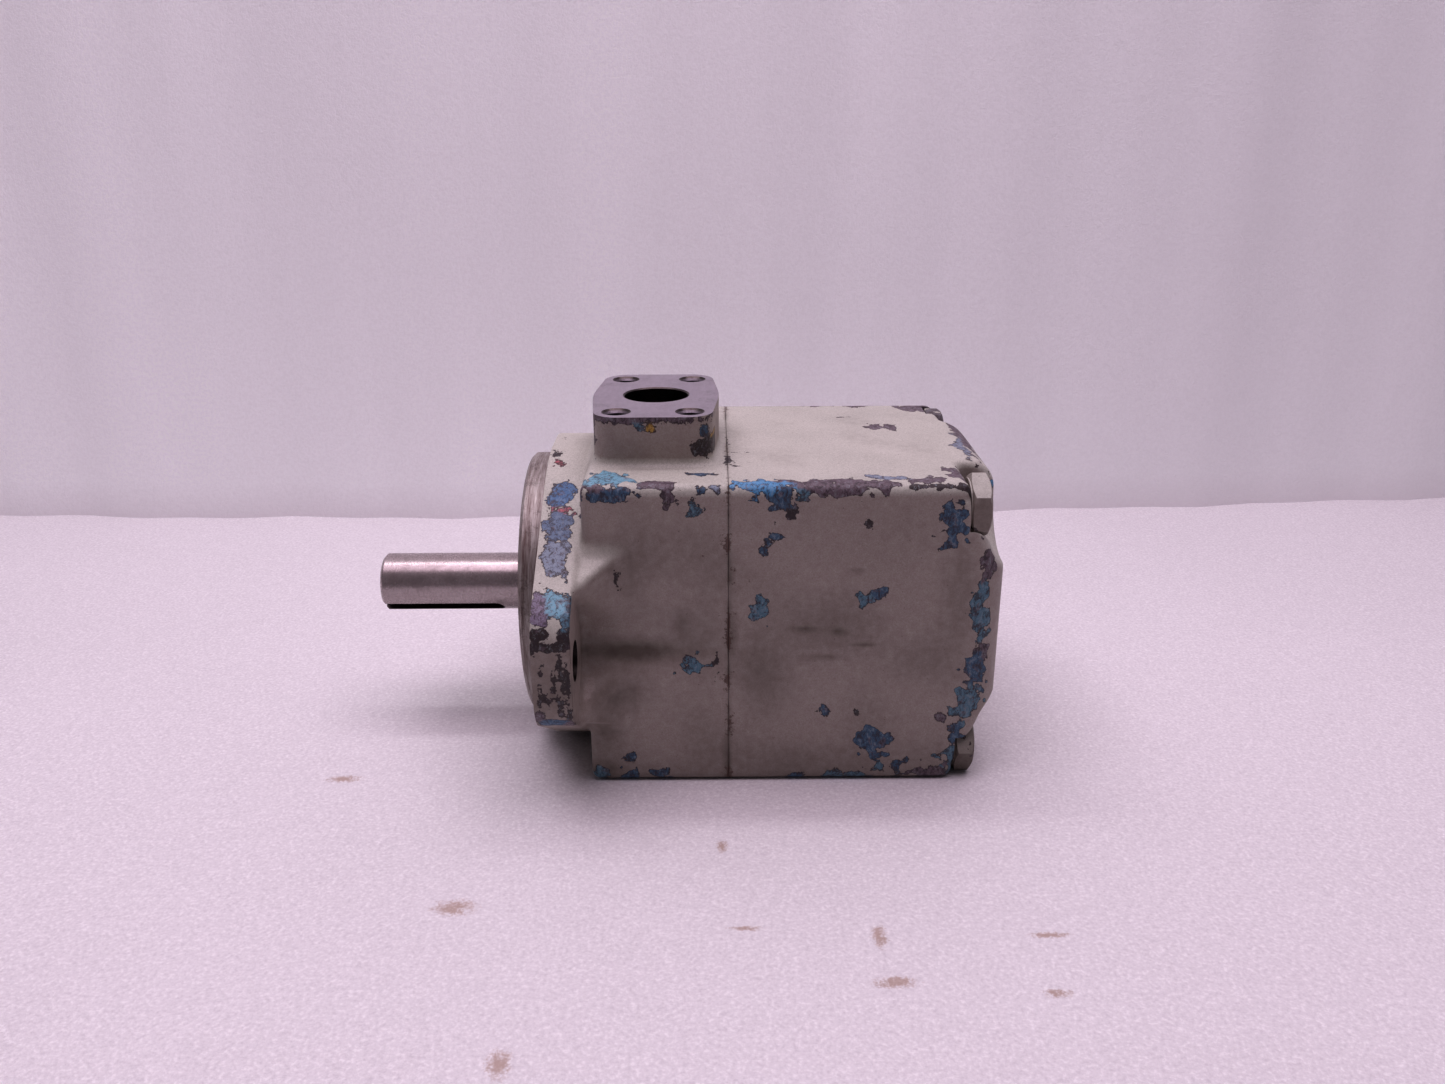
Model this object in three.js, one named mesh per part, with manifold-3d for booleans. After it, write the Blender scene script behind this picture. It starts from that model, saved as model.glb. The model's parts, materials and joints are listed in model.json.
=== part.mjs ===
// Vane type hydraulic motor with a two bolt flange, a keyed shaft and two flanged ports.
// Millimetres. +X runs back along the shaft, +Z is up, and the origin is the centre of the
// shaft's end face. Inside this file x is measured from the mounting face instead, so the
// pilot and the free end of the shaft are at negative x, and the whole motor is moved at the end.
import * as THREE from 'three';
import { mergeVertices } from 'three/addons/utils/BufferGeometryUtils.js';
import Module from 'manifold-3d';

const wasm = await Module();
wasm.setup();

// ---------------------------------------------------------------- driving dimensions
const SHAFT_REACH = 69.4; // mounting face to the shaft's free end
const PLAY = 0.3; // gap kept wherever two pieces would touch

const PILOT = { radius: 50.8, height: 9.5, chamfer: 1.2 };
const FLANGE = {
  thickness: 13,
  halfWidth: 85.5, halfHeight: 57, // ear tips, flat top and bottom
  shoulderY: 20.2, shoulderRadius: 50, // where the top flat turns into the slope
  tipZ: 17.5, tipRadius: 14, // where the slope turns into the ear's end
  boltY: 73, boltRadius: 7.15,
};
const NECK = { scale: 0.975, rampEnd: 46, rampY: 81 }; // webs from the ears to the block's sides
const SCALLOP = { radius: 18.4, end: 47 }; // room for the mounting bolts' heads
const BLOCK = { half: 57, edgeRadius: 4.5, start: 15, split: 65.4, end: 163 };
const REAR_EDGE_RADIUS = 12;
const POCKET = { floor: 148, radius: 19 };
const SCREW = { at: 46, radius: 7, across: 20.6, headHeight: 7.3, tip: 39 };

const PORT = {
  frontX: 39, rearX: 123, faceHeight: 75, boreRadius: 12, boreFloor: 30,
  halfWidth: 23.6, endHalfWidth: 20, halfLength: 34.7, cornerRadius: 8, sideRadius: 150,
  holePitchX: 26.2, holePitchY: 52.4, holeRadius: 4.5, holeFloor: 59,
};
const DRAIN = { x: 55.5, z: 28, holeRadius: 7.3, holeFloor: 48, headRadius: 10, headHeight: 6 };

const SHAFT = { radius: 11.1, seat: 12.35, shoulder: 14, journal: 10, chamfer: 1.6, end: 155 };
const KEYWAY = { width: 6.35, depth: 3.2, end: -22, angle: -42 };
const SPLINE = { root: 10.6, tip: 12.2, teeth: 12, start: 58, end: 90 };

const BEARING = {
  start: -6, end: 9, outer: 26, outerLand: 22.3, innerLand: 16.3, bore: 12.65,
  pitch: 19.3, ball: 3.9, balls: 9, cageInner: 18.3, cageOuter: 20.3, cageHalf: 5.3,
};
const SEAL = { start: 11, end: 20, radius: 21 };
const CARTRIDGE = { radius: 43.6, plateStart: 46.3, ringStart: 60.3, ringEnd: 87.7, plateEnd: 104 };
const CAM = { minor: 30.6, lift: 3.6 };
const ROTOR = { radius: 29.8, slotWidth: 3, slotFloor: 17.5, vanes: 10 };
const VANE = { thickness: 2.4, inner: 18.2, outer: 30.1 };
const PIN_CIRCLE = 39; // cartridge screws and dowels
const O_RING = { radius: 48.5, section: 1.15, grooveHalf: 1.5, grooveDepth: 2.6 };
const BUSH = { start: 144.5, end: 157, radius: 14.7, bore: 10.35 };
const REAR_CHAMBER = { radius: 38, start: 108, end: 144 };

// ---------------------------------------------------------------- finishes
const finish = (color, roughness, metalness) => () =>
  new THREE.MeshStandardMaterial({ color, roughness, metalness });
const paint = finish(0x8d8782, 0.55, 0.1);
const steel = finish(0x9a9594, 0.3, 0.9);
const darkSteel = finish(0x55504f, 0.4, 0.8);
const ballSteel = finish(0xc4c4c8, 0.12, 1);
const bronze = finish(0x9a7340, 0.4, 0.8);
const rubber = finish(0x1c1b1d, 0.8, 0);

// ---------------------------------------------------------------- shape helpers
const radians = THREE.MathUtils.degToRad;

/** A closed three.js geometry as a solid that can be joined and cut. */
function solid(geometry) {
  const bare = geometry.clone();
  bare.deleteAttribute('normal');
  bare.deleteAttribute('uv');
  const merged = mergeVertices(bare, 1e-4);
  const corners = merged.getIndex().array;
  const kept = [];
  for (let i = 0; i < corners.length; i += 3) {
    const [a, b, c] = corners.slice(i, i + 3);
    if (a !== b && b !== c && c !== a) kept.push(a, b, c);
  }
  return new wasm.Manifold(new wasm.Mesh({
    numProp: 3,
    vertProperties: Float32Array.from(merged.getAttribute('position').array),
    triVerts: Uint32Array.from(kept),
  }));
}

/** A solid's surface as a three.js geometry. */
function surface(shape) {
  const { vertProperties, triVerts, numProp } = shape.getMesh();
  const geometry = new THREE.BufferGeometry();
  geometry.setAttribute('position', new THREE.BufferAttribute(vertProperties, numProp));
  geometry.setIndex(new THREE.BufferAttribute(triVerts, 1));
  geometry.computeVertexNormals();
  return geometry;
}

const join = (first, ...others) => others.reduce((whole, next) => whole.add(next), first);
const cut = (first, ...others) => others.reduce((whole, next) => whole.subtract(next), first);

/** A [y, z] outline pushed along x from start to end. */
function alongX(outline, start, end, holes = []) {
  const shape = new THREE.Shape(outline);
  shape.holes = holes.map((hole) => new THREE.Path(hole));
  const geometry = new THREE.ExtrudeGeometry(shape, { depth: end - start, bevelEnabled: false });
  const axes = [[0, 1, 0], [0, 0, 1], [1, 0, 0]].map((axis) => new THREE.Vector3(...axis));
  geometry.applyMatrix4(new THREE.Matrix4().makeBasis(...axes));
  return solid(geometry.translate(start, 0, 0));
}

/** An [x, y] outline pushed up z from low to high. */
function alongZ(outline, low, high) {
  const options = { depth: high - low, bevelEnabled: false };
  const geometry = new THREE.ExtrudeGeometry(new THREE.Shape(outline), options);
  return solid(geometry.translate(0, 0, low));
}

/** A closed [radius, x] profile turned about the x axis. */
function turned(profile, segments = 28) {
  const points = [...profile, profile[0]].map(([radius, x]) => new THREE.Vector2(radius, x));
  return solid(new THREE.LatheGeometry(points, segments).rotateZ(-Math.PI / 2));
}

/** A plain ring between two radii. */
const ring = (inner, outer, start, end, segments = 28) =>
  turned([[inner, start], [outer, start], [outer, end], [inner, end]], segments);

/** A round bar along x. */
const barX = (radius, start, end, y = 0, z = 0, segments = 16) =>
  solid(new THREE.CylinderGeometry(radius, radius, end - start, segments)
    .rotateZ(-Math.PI / 2)
    .translate((start + end) / 2, y, z));

/** A round bar up z. */
const barZ = (radius, low, high, x, y = 0, segments = 20) =>
  solid(new THREE.CylinderGeometry(radius, radius, high - low, segments)
    .rotateX(Math.PI / 2)
    .translate(x, y, (low + high) / 2));

/** A torus round the x axis. */
const torusX = (radius, section, x, sides = 6, around = 28) =>
  solid(new THREE.TorusGeometry(radius, section, sides, around).rotateY(Math.PI / 2)
    .translate(x, 0, 0));

/** Outline points of a polygon whose corners [u, v, radius] are rounded off. */
function rounded(corners, step = radians(15)) {
  const place = corners.map(([u, v]) => new THREE.Vector2(u, v));
  return corners.flatMap(([, , radius], i) => {
    const corner = place[i];
    const back = place.at(i - 1).clone().sub(corner).normalize();
    const on = place[(i + 1) % place.length].clone().sub(corner).normalize();
    const half = Math.acos(THREE.MathUtils.clamp(back.dot(on), -1, 1)) / 2;
    const bisector = back.clone().add(on).normalize();
    const centre = bisector.multiplyScalar(radius / Math.sin(half)).add(corner);
    const first = back.clone().multiplyScalar(radius / Math.tan(half)).add(corner);
    const turn = Math.sign(on.cross(back)) * (Math.PI - 2 * half);
    const steps = Math.max(1, Math.round(Math.abs(turn) / step));
    return Array.from({ length: steps + 1 }, (_, k) =>
      first.clone().rotateAround(centre, turn * k / steps));
  });
}

const rectangle = (halfU, halfV, radius) =>
  rounded([[halfU, -halfV, radius], [halfU, halfV, radius],
    [-halfU, halfV, radius], [-halfU, -halfV, radius]]);

/** Points of an arc about the origin. */
const arc = (radius, from, to, steps) =>
  Array.from({ length: steps + 1 }, (_, k) => {
    const angle = from + (to - from) * k / steps;
    return new THREE.Vector2(radius * Math.cos(angle), radius * Math.sin(angle));
  });

const boxAt = (sizeX, sizeY, sizeZ, x, y, z) =>
  solid(new THREE.BoxGeometry(sizeX, sizeY, sizeZ).translate(x, y, z));

const onCircle = (radius, angle) => [radius * Math.cos(angle), radius * Math.sin(angle)];
const CORNERS = [[-1, 1], [1, 1], [1, -1], [-1, -1]];

// ---------------------------------------------------------------- the motor's pieces
const motor = new THREE.Group();
motor.position.x = SHAFT_REACH;

function addPiece(name, shape, material) {
  const mesh = new THREE.Mesh(surface(shape), material());
  mesh.name = name;
  motor.add(mesh);
}

// Outline shared by the flange and, slightly smaller, by the neck behind it.
function flangeOutline(scale = 1) {
  const { halfWidth, halfHeight, shoulderY, shoulderRadius, tipZ, tipRadius } = FLANGE;
  const corners = [[1, -1], [1, 1], [-1, 1], [-1, -1]].flatMap(([sideY, sideZ]) => {
    const tip = [sideY * halfWidth, sideZ * tipZ, tipRadius];
    const shoulder = [sideY * shoulderY, sideZ * halfHeight, shoulderRadius];
    return sideY === sideZ ? [tip, shoulder] : [shoulder, tip];
  });
  return rounded(corners.map((corner) => corner.map((value) => value * scale)), radians(12));
}

/** A flanged port's raised pad, facing up z, with its centre at x. */
function portPad(x) {
  const { halfWidth, endHalfWidth, halfLength, cornerRadius, sideRadius, faceHeight } = PORT;
  const corners = [[halfWidth, 0, sideRadius],
    [endHalfWidth, halfLength, cornerRadius], [-endHalfWidth, halfLength, cornerRadius],
    [-halfWidth, 0, sideRadius],
    [-endHalfWidth, -halfLength, cornerRadius], [endHalfWidth, -halfLength, cornerRadius]];
  const outline = rounded(corners).map((point) => point.add(new THREE.Vector2(x, 0)));
  return alongZ(outline, BLOCK.half - 2, faceHeight);
}

/** The port's bore and its four tapped holes. */
function portHoles(x) {
  const { faceHeight, boreRadius, boreFloor, holeRadius, holeFloor } = PORT;
  const [pitchX, pitchY] = [PORT.holePitchX / 2, PORT.holePitchY / 2];
  const holes = CORNERS.map(([u, v]) =>
    barZ(holeRadius, holeFloor, faceHeight + 1, x + u * pitchX, v * pitchY, 8));
  return join(barZ(boreRadius, boreFloor, faceHeight + 1, x), ...holes);
}

/** Ends of the four housing screws' holes. */
const screwHoles = (start, end) =>
  CORNERS.map(([u, v]) => barX(SCREW.radius + 0.4, start, end, u * SCREW.at, v * SCREW.at, 12));

function frontHousing() {
  const back = BLOCK.split - PLAY / 2;
  const pilot = turned([[0, -PILOT.height], [PILOT.radius - PILOT.chamfer, -PILOT.height],
    [PILOT.radius, PILOT.chamfer - PILOT.height], [PILOT.radius, 1], [0, 1]], 48);
  const flange = alongX(flangeOutline(), 0, FLANGE.thickness);
  const ramp = alongZ([[0, -NECK.rampY], [FLANGE.thickness, -NECK.rampY],
    [NECK.rampEnd, -BLOCK.half], [NECK.rampEnd, BLOCK.half],
    [FLANGE.thickness, NECK.rampY], [0, NECK.rampY]]
    .map(([x, y]) => new THREE.Vector2(x, y)), -BLOCK.half, BLOCK.half);
  const neck = alongX(flangeOutline(NECK.scale), 1, NECK.rampEnd).intersect(ramp);
  const block = alongX(rectangle(BLOCK.half, BLOCK.half, BLOCK.edgeRadius), BLOCK.start, back);
  const body = join(flange, neck, block, portPad(PORT.frontX));

  const { radius } = REAR_CHAMBER;
  const bores = turned([[0, -PILOT.height - 1], [26.3, -PILOT.height - 1],
    [26.3, -8.5], [27.6, -8.5], [27.6, -6.3], [26.3, -6.3], [26.3, BEARING.end + PLAY],
    [21.3, BEARING.end + PLAY], [21.3, 22], [15, 22], [15, 26], [radius, 26], [radius, 46],
    [CARTRIDGE.radius + 0.4, 46], [CARTRIDGE.radius + 0.4, back + 1], [0, back + 1]], 36);
  const groove = ring(O_RING.radius - O_RING.grooveHalf, O_RING.radius + O_RING.grooveHalf,
    back - O_RING.grooveDepth, back + 1, 36);
  const drain = barZ(DRAIN.holeRadius, -DRAIN.holeFloor - 20, -DRAIN.holeFloor, DRAIN.x, DRAIN.z)
    .rotate([90, 0, 0]);
  const bolts = [-1, 1].flatMap((side) => [
    barX(FLANGE.boltRadius, -1, FLANGE.thickness + 1, side * FLANGE.boltY, 0, 16),
    barX(SCALLOP.radius, FLANGE.thickness, SCALLOP.end, side * FLANGE.boltY, 0, 24)]);
  return cut(join(body, pilot), bores, groove, drain, portHoles(PORT.frontX), ...bolts,
    ...screwHoles(SCREW.tip - 1, back + 1));
}

function rearHousing() {
  const front = BLOCK.split + PLAY / 2;
  const block = alongX(rectangle(BLOCK.half, BLOCK.half, BLOCK.edgeRadius), front, BLOCK.end);
  const edge = rounded([[0, -BLOCK.half, 1], [BLOCK.end, -BLOCK.half, REAR_EDGE_RADIUS],
    [BLOCK.end, BLOCK.half, REAR_EDGE_RADIUS], [0, BLOCK.half, 1]]);
  const sides = alongZ(edge, -BLOCK.half - 1, BLOCK.half + 1);
  const pad = portPad(PORT.rearX);
  const body = join(block.intersect(sides).intersect(sides.rotate([90, 0, 0])),
    pad.rotate([-90, 0, 0]));

  const { radius, start, end } = REAR_CHAMBER;
  const registerRadius = CARTRIDGE.radius + 0.4;
  const bores = turned([[0, front - 1], [registerRadius, front - 1], [registerRadius, start],
    [radius, start], [radius, end], [BUSH.radius + PLAY, end],
    [BUSH.radius + PLAY, BUSH.end + PLAY], [0, BUSH.end + PLAY]], 36);
  const pockets = CORNERS.map(([u, v]) =>
    barX(POCKET.radius, POCKET.floor, BLOCK.end + 1, u * SCREW.at, v * SCREW.at, 24));
  return cut(body, bores, portHoles(PORT.rearX).rotate([-90, 0, 0]), ...pockets,
    ...screwHoles(front - 1, POCKET.floor + 1));
}

/** A hex head bolt: the upper ones have a point at the top, the lower ones a flat at the bottom. */
function capScrew([sideY, sideZ]) {
  const under = POCKET.floor + PLAY;
  const corner = SCREW.across / 2 / Math.cos(Math.PI / 6);
  const [y, z] = [sideY * SCREW.at, sideZ * SCREW.at];
  const turn = sideZ > 0 ? Math.PI / 2 : 0;
  const hexagon = arc(corner, turn, turn + 2 * Math.PI, 6).slice(1)
    .map((point) => point.add(new THREE.Vector2(y, z)));
  return join(alongX(hexagon, under, under + SCREW.headHeight),
    barX(SCREW.radius, SCREW.tip, under + 1, y, z, 12));
}

/** A star shaped outline for splines: teeth between two radii. */
function splineOutline(root, tip, share = 0.5) {
  const pitch = 2 * Math.PI / SPLINE.teeth;
  return Array.from({ length: SPLINE.teeth }, (_, tooth) => {
    const middle = tooth * pitch;
    const [wide, narrow] = [pitch * share / 2, pitch * share / 3];
    return [[root, -wide], [tip, -narrow], [tip, narrow], [root, wide]]
      .map(([radius, offset]) => new THREE.Vector2(...onCircle(radius, middle + offset)));
  }).flat();
}

function shaft() {
  const { radius, seat, shoulder, journal, chamfer, end } = SHAFT;
  const bar = turned([[0, -SHAFT_REACH], [radius - chamfer, -SHAFT_REACH],
    [radius, chamfer - SHAFT_REACH], [radius, -13.5], [seat, -12.5], [seat, -8.4],
    [11.4, -8.4], [11.4, -6.5], [seat, -6.5], [seat, BEARING.end + PLAY],
    [shoulder, BEARING.end + PLAY], [shoulder, 24.5], [SPLINE.tip, 27],
    [SPLINE.tip, SPLINE.start], [journal, SPLINE.start], [journal, end - 1], [journal - 1, end],
    [0, end]]);
  const splines = alongX(splineOutline(SPLINE.root, SPLINE.tip), SPLINE.start - 1, SPLINE.end);
  const length = SHAFT_REACH + KEYWAY.end;
  const slot = join(
    boxAt(length, KEYWAY.width, KEYWAY.depth * 2, (KEYWAY.end - SHAFT_REACH) / 2 - 2, 0, -radius),
    barZ(KEYWAY.width / 2, -radius - KEYWAY.depth, -radius + KEYWAY.depth, KEYWAY.end - 2, 0, 16));
  return cut(join(bar, splines), slot.rotate([KEYWAY.angle, 0, 0]));
}

/** A retaining ring with a gap and two lugs, lying across x. */
function snapRing(inner, outer, start, end, lugOutside) {
  const gap = radians(18);
  const from = -Math.PI / 2 + gap;
  const to = 1.5 * Math.PI - gap;
  const band = [...arc(outer, from, to, 24), ...arc(inner, to, from, 24)];
  const lugRadius = lugOutside ? outer + 0.2 : inner - 0.6;
  const lugs = [from, to].map((angle) => barX(1.9, start, end, ...onCircle(lugRadius, angle), 12));
  const eyes = [from, to].map((angle) =>
    barX(0.8, start - 1, end + 1, ...onCircle(lugRadius, angle), 8));
  return cut(join(alongX(band, start, end), ...lugs), ...eyes);
}

// ---- ball bearing
const bearingMiddle = (BEARING.start + BEARING.end) / 2;
const raceway = () => torusX(BEARING.pitch, BEARING.ball + 0.35, bearingMiddle, 12, 36);

function bearingCage() {
  const { cageInner, cageOuter, cageHalf, ball, pitch, balls } = BEARING;
  const band = ring(cageInner, cageOuter, bearingMiddle - cageHalf, bearingMiddle + cageHalf, 27);
  const pockets = Array.from({ length: balls }, (_, i) =>
    barZ(ball + 0.35, pitch - 5, pitch + 5, bearingMiddle, 0, 12).rotate([360 * i / balls, 0, 0]));
  return cut(band, ...pockets);
}

function bearingBall(index) {
  const turn = radians(360 * index / BEARING.balls);
  const ball = new THREE.SphereGeometry(BEARING.ball, 10, 6);
  return solid(ball.translate(bearingMiddle, 0, BEARING.pitch).rotateX(turn));
}

// ---- shaft seal
function sealCase() {
  const { start, end, radius } = SEAL;
  return turned([[radius, start], [radius, end], [16.2, end], [16.2, end - 1.2],
    [radius - 1.3, end - 1.2], [radius - 1.3, start]]);
}
const sealLip = () => turned([[19.3, 18.4], [15.2, 18.4], [14.35, 14], [15.6, 11.8],
  [16, 13.6], [17.2, 14.2], [19.3, 16.5]]);

// ---- cartridge
const pinAngles = { screw: [0, Math.PI], dowel: [Math.PI / 2, 1.5 * Math.PI] };
const pinHoles = (start, end) => [
  ...pinAngles.screw.map((angle) => barX(2.35, start, end, ...onCircle(PIN_CIRCLE, angle), 12)),
  ...pinAngles.dowel.map((angle) => barX(2.85, start, end, ...onCircle(PIN_CIRCLE, angle), 12))];

/** Two kidney shaped windows through a port plate, centred on the angle and opposite it. */
const kidneys = (middle, start, end) => [middle, middle + Math.PI].map((centre) => {
  const [from, to] = [centre - radians(26), centre + radians(26)];
  return alongX([...arc(33.5, from, to, 6), ...arc(27, to, from, 6)], start, end);
});

function portPlate(start, end, windowAngle) {
  const plate = ring(SPLINE.tip + 1, CARTRIDGE.radius, start, end);
  return cut(plate, ...kidneys(windowAngle, start - 1, end + 1), ...pinHoles(start - 1, end + 1));
}

function rearPlate() {
  const plate = portPlate(CARTRIDGE.ringEnd + PLAY, CARTRIDGE.plateEnd, radians(135));
  const recesses = pinAngles.screw.map((angle) => barX(4.2, CARTRIDGE.plateEnd - 4.6,
    CARTRIDGE.plateEnd + 1, ...onCircle(PIN_CIRCLE, angle), 16));
  return cut(plate, ...recesses);
}

function camRing() {
  const { ringStart, ringEnd, radius } = CARTRIDGE;
  const track = arc(1, 0, 2 * Math.PI, 48).slice(1)
    .map((point) => point.multiplyScalar(CAM.minor + CAM.lift * point.y ** 2));
  const body = alongX(arc(radius, 0, 2 * Math.PI, 36).slice(1), ringStart, ringEnd, [track]);
  return cut(body, ...pinHoles(ringStart - 1, ringEnd + 1));
}

const vaneAngle = (index) => 2 * Math.PI * (index + 0.5) / ROTOR.vanes;

function rotor() {
  const { radius, slotWidth, slotFloor, vanes } = ROTOR;
  const lean = Math.asin(slotWidth / 2 / radius);
  const outline = Array.from({ length: vanes }, (_, i) => {
    const [here, next] = [vaneAngle(i), vaneAngle(i + 1)];
    const across = new THREE.Vector2(...onCircle(slotWidth / 2, here + Math.PI / 2));
    const floor = new THREE.Vector2(...onCircle(slotFloor, here));
    return [floor.clone().sub(across), floor.clone().add(across),
      ...arc(radius, here + lean, next - lean, 4)];
  }).flat();
  const splineHole = splineOutline(SPLINE.root + 0.45, SPLINE.tip + 0.35, 0.6);
  return alongX(outline, CARTRIDGE.ringStart + 0.1, CARTRIDGE.ringEnd - 0.1, [splineHole]);
}

function vane(index) {
  const { thickness, inner, outer } = VANE;
  const length = CARTRIDGE.ringEnd - CARTRIDGE.ringStart - 0.6;
  const middle = (CARTRIDGE.ringStart + CARTRIDGE.ringEnd) / 2;
  return solid(new THREE.BoxGeometry(length, outer - inner, thickness)
    .translate(middle, (inner + outer) / 2, 0).rotateX(vaneAngle(index)));
}

function cartridgeScrew(angle) {
  const place = onCircle(PIN_CIRCLE, angle);
  const head = CARTRIDGE.plateEnd - 4.3;
  return join(barX(2, 49, head + 1, ...place, 12),
    cut(barX(3.8, head, head + 3.9, ...place, 16), barX(1.9, head + 2, head + 5, ...place, 6)));
}

const dowel = (angle) => barX(2.5, 50, 100, ...onCircle(PIN_CIRCLE, angle), 12);
const discSpring = () => turned([[39.2, 104.4], [40.4, 104.4], [43.5, 106.4], [43.5, 107.5],
  [42.3, 107.5], [39.2, 105.5]]);

// ---- drain port on the far side
function drainPlug() {
  const { x, z, holeFloor, headRadius, headHeight } = DRAIN;
  const face = BLOCK.half + 1.6 + 2 * PLAY;
  const plug = join(barZ(DRAIN.holeRadius - 0.4, holeFloor + 2, face + 1, x, -z, 16),
    barZ(headRadius, face, face + headHeight, x, -z, 6));
  return plug.rotate([-90, 0, 0]);
}
const drainSeal = () => cut(
  barZ(DRAIN.headRadius - 0.4, BLOCK.half + PLAY, BLOCK.half + PLAY + 1.6, DRAIN.x, -DRAIN.z),
  barZ(DRAIN.holeRadius, BLOCK.half - 1, BLOCK.half + 4, DRAIN.x, -DRAIN.z)).rotate([-90, 0, 0]);

addPiece('front_housing', frontHousing(), paint);
addPiece('rear_housing', rearHousing(), paint);
CORNERS.forEach((corner, i) => addPiece(`cap_screw_${i + 1}`, capScrew(corner), paint));
addPiece('shaft', shaft(), steel);
addPiece('housing_snap_ring', snapRing(23.4, 27.2, -8.2, -6.6, false), darkSteel);
addPiece('shaft_snap_ring', snapRing(11.7, 14.4, -8.1, -6.8, true), darkSteel);
addPiece('bearing_outer_race', ring(BEARING.outerLand, BEARING.outer, BEARING.start, BEARING.end, 36)
  .subtract(raceway()), steel);
addPiece('bearing_inner_race', ring(BEARING.bore, BEARING.innerLand, BEARING.start, BEARING.end, 36)
  .subtract(raceway()), steel);
addPiece('bearing_cage', bearingCage(), bronze);
for (let i = 0; i < BEARING.balls; i += 1) {
  addPiece(`bearing_ball_${i + 1}`, bearingBall(i), ballSteel);
}
addPiece('seal_case', sealCase(), darkSteel);
addPiece('seal_lip', sealLip(), rubber);
addPiece('seal_garter_spring', torusX(17.2, 0.7, 12.9), steel);
addPiece('housing_o_ring', torusX(O_RING.radius, O_RING.section, BLOCK.split - 1.4), rubber);
addPiece('front_port_plate', portPlate(CARTRIDGE.plateStart, CARTRIDGE.ringStart - PLAY,
  radians(45)), bronze);
addPiece('cam_ring', camRing(), steel);
addPiece('rear_port_plate', rearPlate(), bronze);
addPiece('rotor', rotor(), darkSteel);
for (let i = 0; i < ROTOR.vanes; i += 1) addPiece(`vane_${i + 1}`, vane(i), steel);
pinAngles.screw.forEach((angle, i) =>
  addPiece(`cartridge_screw_${i + 1}`, cartridgeScrew(angle), darkSteel));
pinAngles.dowel.forEach((angle, i) => addPiece(`dowel_pin_${i + 1}`, dowel(angle), steel));
addPiece('plate_spring', discSpring(), steel);
addPiece('rear_bush', ring(BUSH.bore, BUSH.radius, BUSH.start, BUSH.end), bronze);
addPiece('drain_plug', drainPlug(), paint);
addPiece('drain_seal', drainSeal(), bronze);

export default motor;
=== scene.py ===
"""A hydraulic motor: a worn, repainted cast iron body with its shaft, bearing and cartridge.

The two housings are meshed from distance fields, so that every cast edge and corner has its
fillet, and their machined faces and bores are then cut clean. Everything else is turned,
extruded or wound.
"""
import json
import math

import bmesh
import bpy
import numpy as np
from mathutils import Matrix, Vector


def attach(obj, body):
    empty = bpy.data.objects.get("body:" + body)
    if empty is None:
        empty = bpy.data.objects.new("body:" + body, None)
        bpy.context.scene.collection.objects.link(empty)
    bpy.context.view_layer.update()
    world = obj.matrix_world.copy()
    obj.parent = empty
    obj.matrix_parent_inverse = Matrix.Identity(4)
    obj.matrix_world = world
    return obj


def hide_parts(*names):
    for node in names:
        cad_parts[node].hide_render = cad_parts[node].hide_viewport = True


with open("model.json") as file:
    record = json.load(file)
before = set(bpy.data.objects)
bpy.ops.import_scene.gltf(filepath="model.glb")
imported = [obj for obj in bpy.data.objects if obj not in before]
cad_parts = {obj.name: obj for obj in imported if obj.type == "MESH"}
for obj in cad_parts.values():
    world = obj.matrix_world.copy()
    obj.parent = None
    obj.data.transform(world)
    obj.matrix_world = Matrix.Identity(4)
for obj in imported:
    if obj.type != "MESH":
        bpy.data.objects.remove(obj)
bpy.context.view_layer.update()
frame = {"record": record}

MOUNTS = {mount["name"]: mount for mount in frame["record"]["mounts"]}
MOUNTING_FACE = MOUNTS["mounting_face"]["pos_m"][0]  # metres along x, the zero of the drawing
MM = 0.001

# ---------------------------------------------------------------- drawing dimensions, mm
PILOT_RADIUS, PILOT_HEIGHT = 50.8, 9.5
FLANGE_THICK, EAR_TIP, EAR_TIP_Z, SHOULDER_Y = 13.0, 85.5, 17.5, 20.2
BOLT_Y, BOLT_HOLE_RADIUS, SCALLOP_RADIUS, SCALLOP_END = 73.0, 7.15, 20.0, 50.0
RAMP_Y, RAMP_END = 71.0, 27.6
HALF, EDGE_RADIUS = 57.0, 3.4
BLOCK_START, SPLIT, REAR_END, REAR_RADIUS = 15.0, 65.4, 163.0, 12.0
POCKET_FLOOR, POCKET_RADIUS, SCREW_AT = 148.0, 19.0, 46.0
PORT_X, REAR_PORT_X, PORT_FACE, PORT_RADIUS = 39.0, 123.0, 75.0, 12.0
PORT_HOLES = (13.1, 26.2)
PAD_HALF, PAD_REACH, PAD_CORNER = 24.0, 34.7, 8.0
# The pad's sides lean in by 5.9 degrees towards both ends, with a round bulge halfway.
PAD_COS, PAD_SIN, PAD_BULGE = 0.9947, 0.1032, 40
DRAIN_X, DRAIN_Z, DRAIN_FLOOR = 55.5, 28.0, 48.0
SHAFT_REACH, SHAFT_RADIUS = 69.4, 11.1
BEARING_SEAT, RING_GROOVE, SEAL_SEAT, SHAFT_HOLE = 26.3, 27.6, 21.3, 15.0        # radii
CHAMBER, CARTRIDGE_SEAT, SCREW_HOLE, SPOT_FACE = 38.0, 44.0, 7.4, 12.6           # radii
PORT_TAP, DRAIN_TAP = 4.6, 7.3                                                   # radii
BEYOND = 99.0            # past the motor's outside in any direction
MESH_STEP = 1.1          # of the castings' grid
GAP = 0.3                # between two parts that bear on each other
JOINT_GAP = 0.14         # what shows between the two housings
SHALLOWER = 5.5          # the upper far screw's pocket is less deep than the others


# ================================================================ distance fields
def round_max(a, b, radius):
    """Where both fields are inside, with the edge between them rounded."""
    corner = np.hypot(np.maximum(a + radius, 0), np.maximum(b + radius, 0))
    return np.minimum(np.maximum(a, b), -radius) + corner


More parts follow.
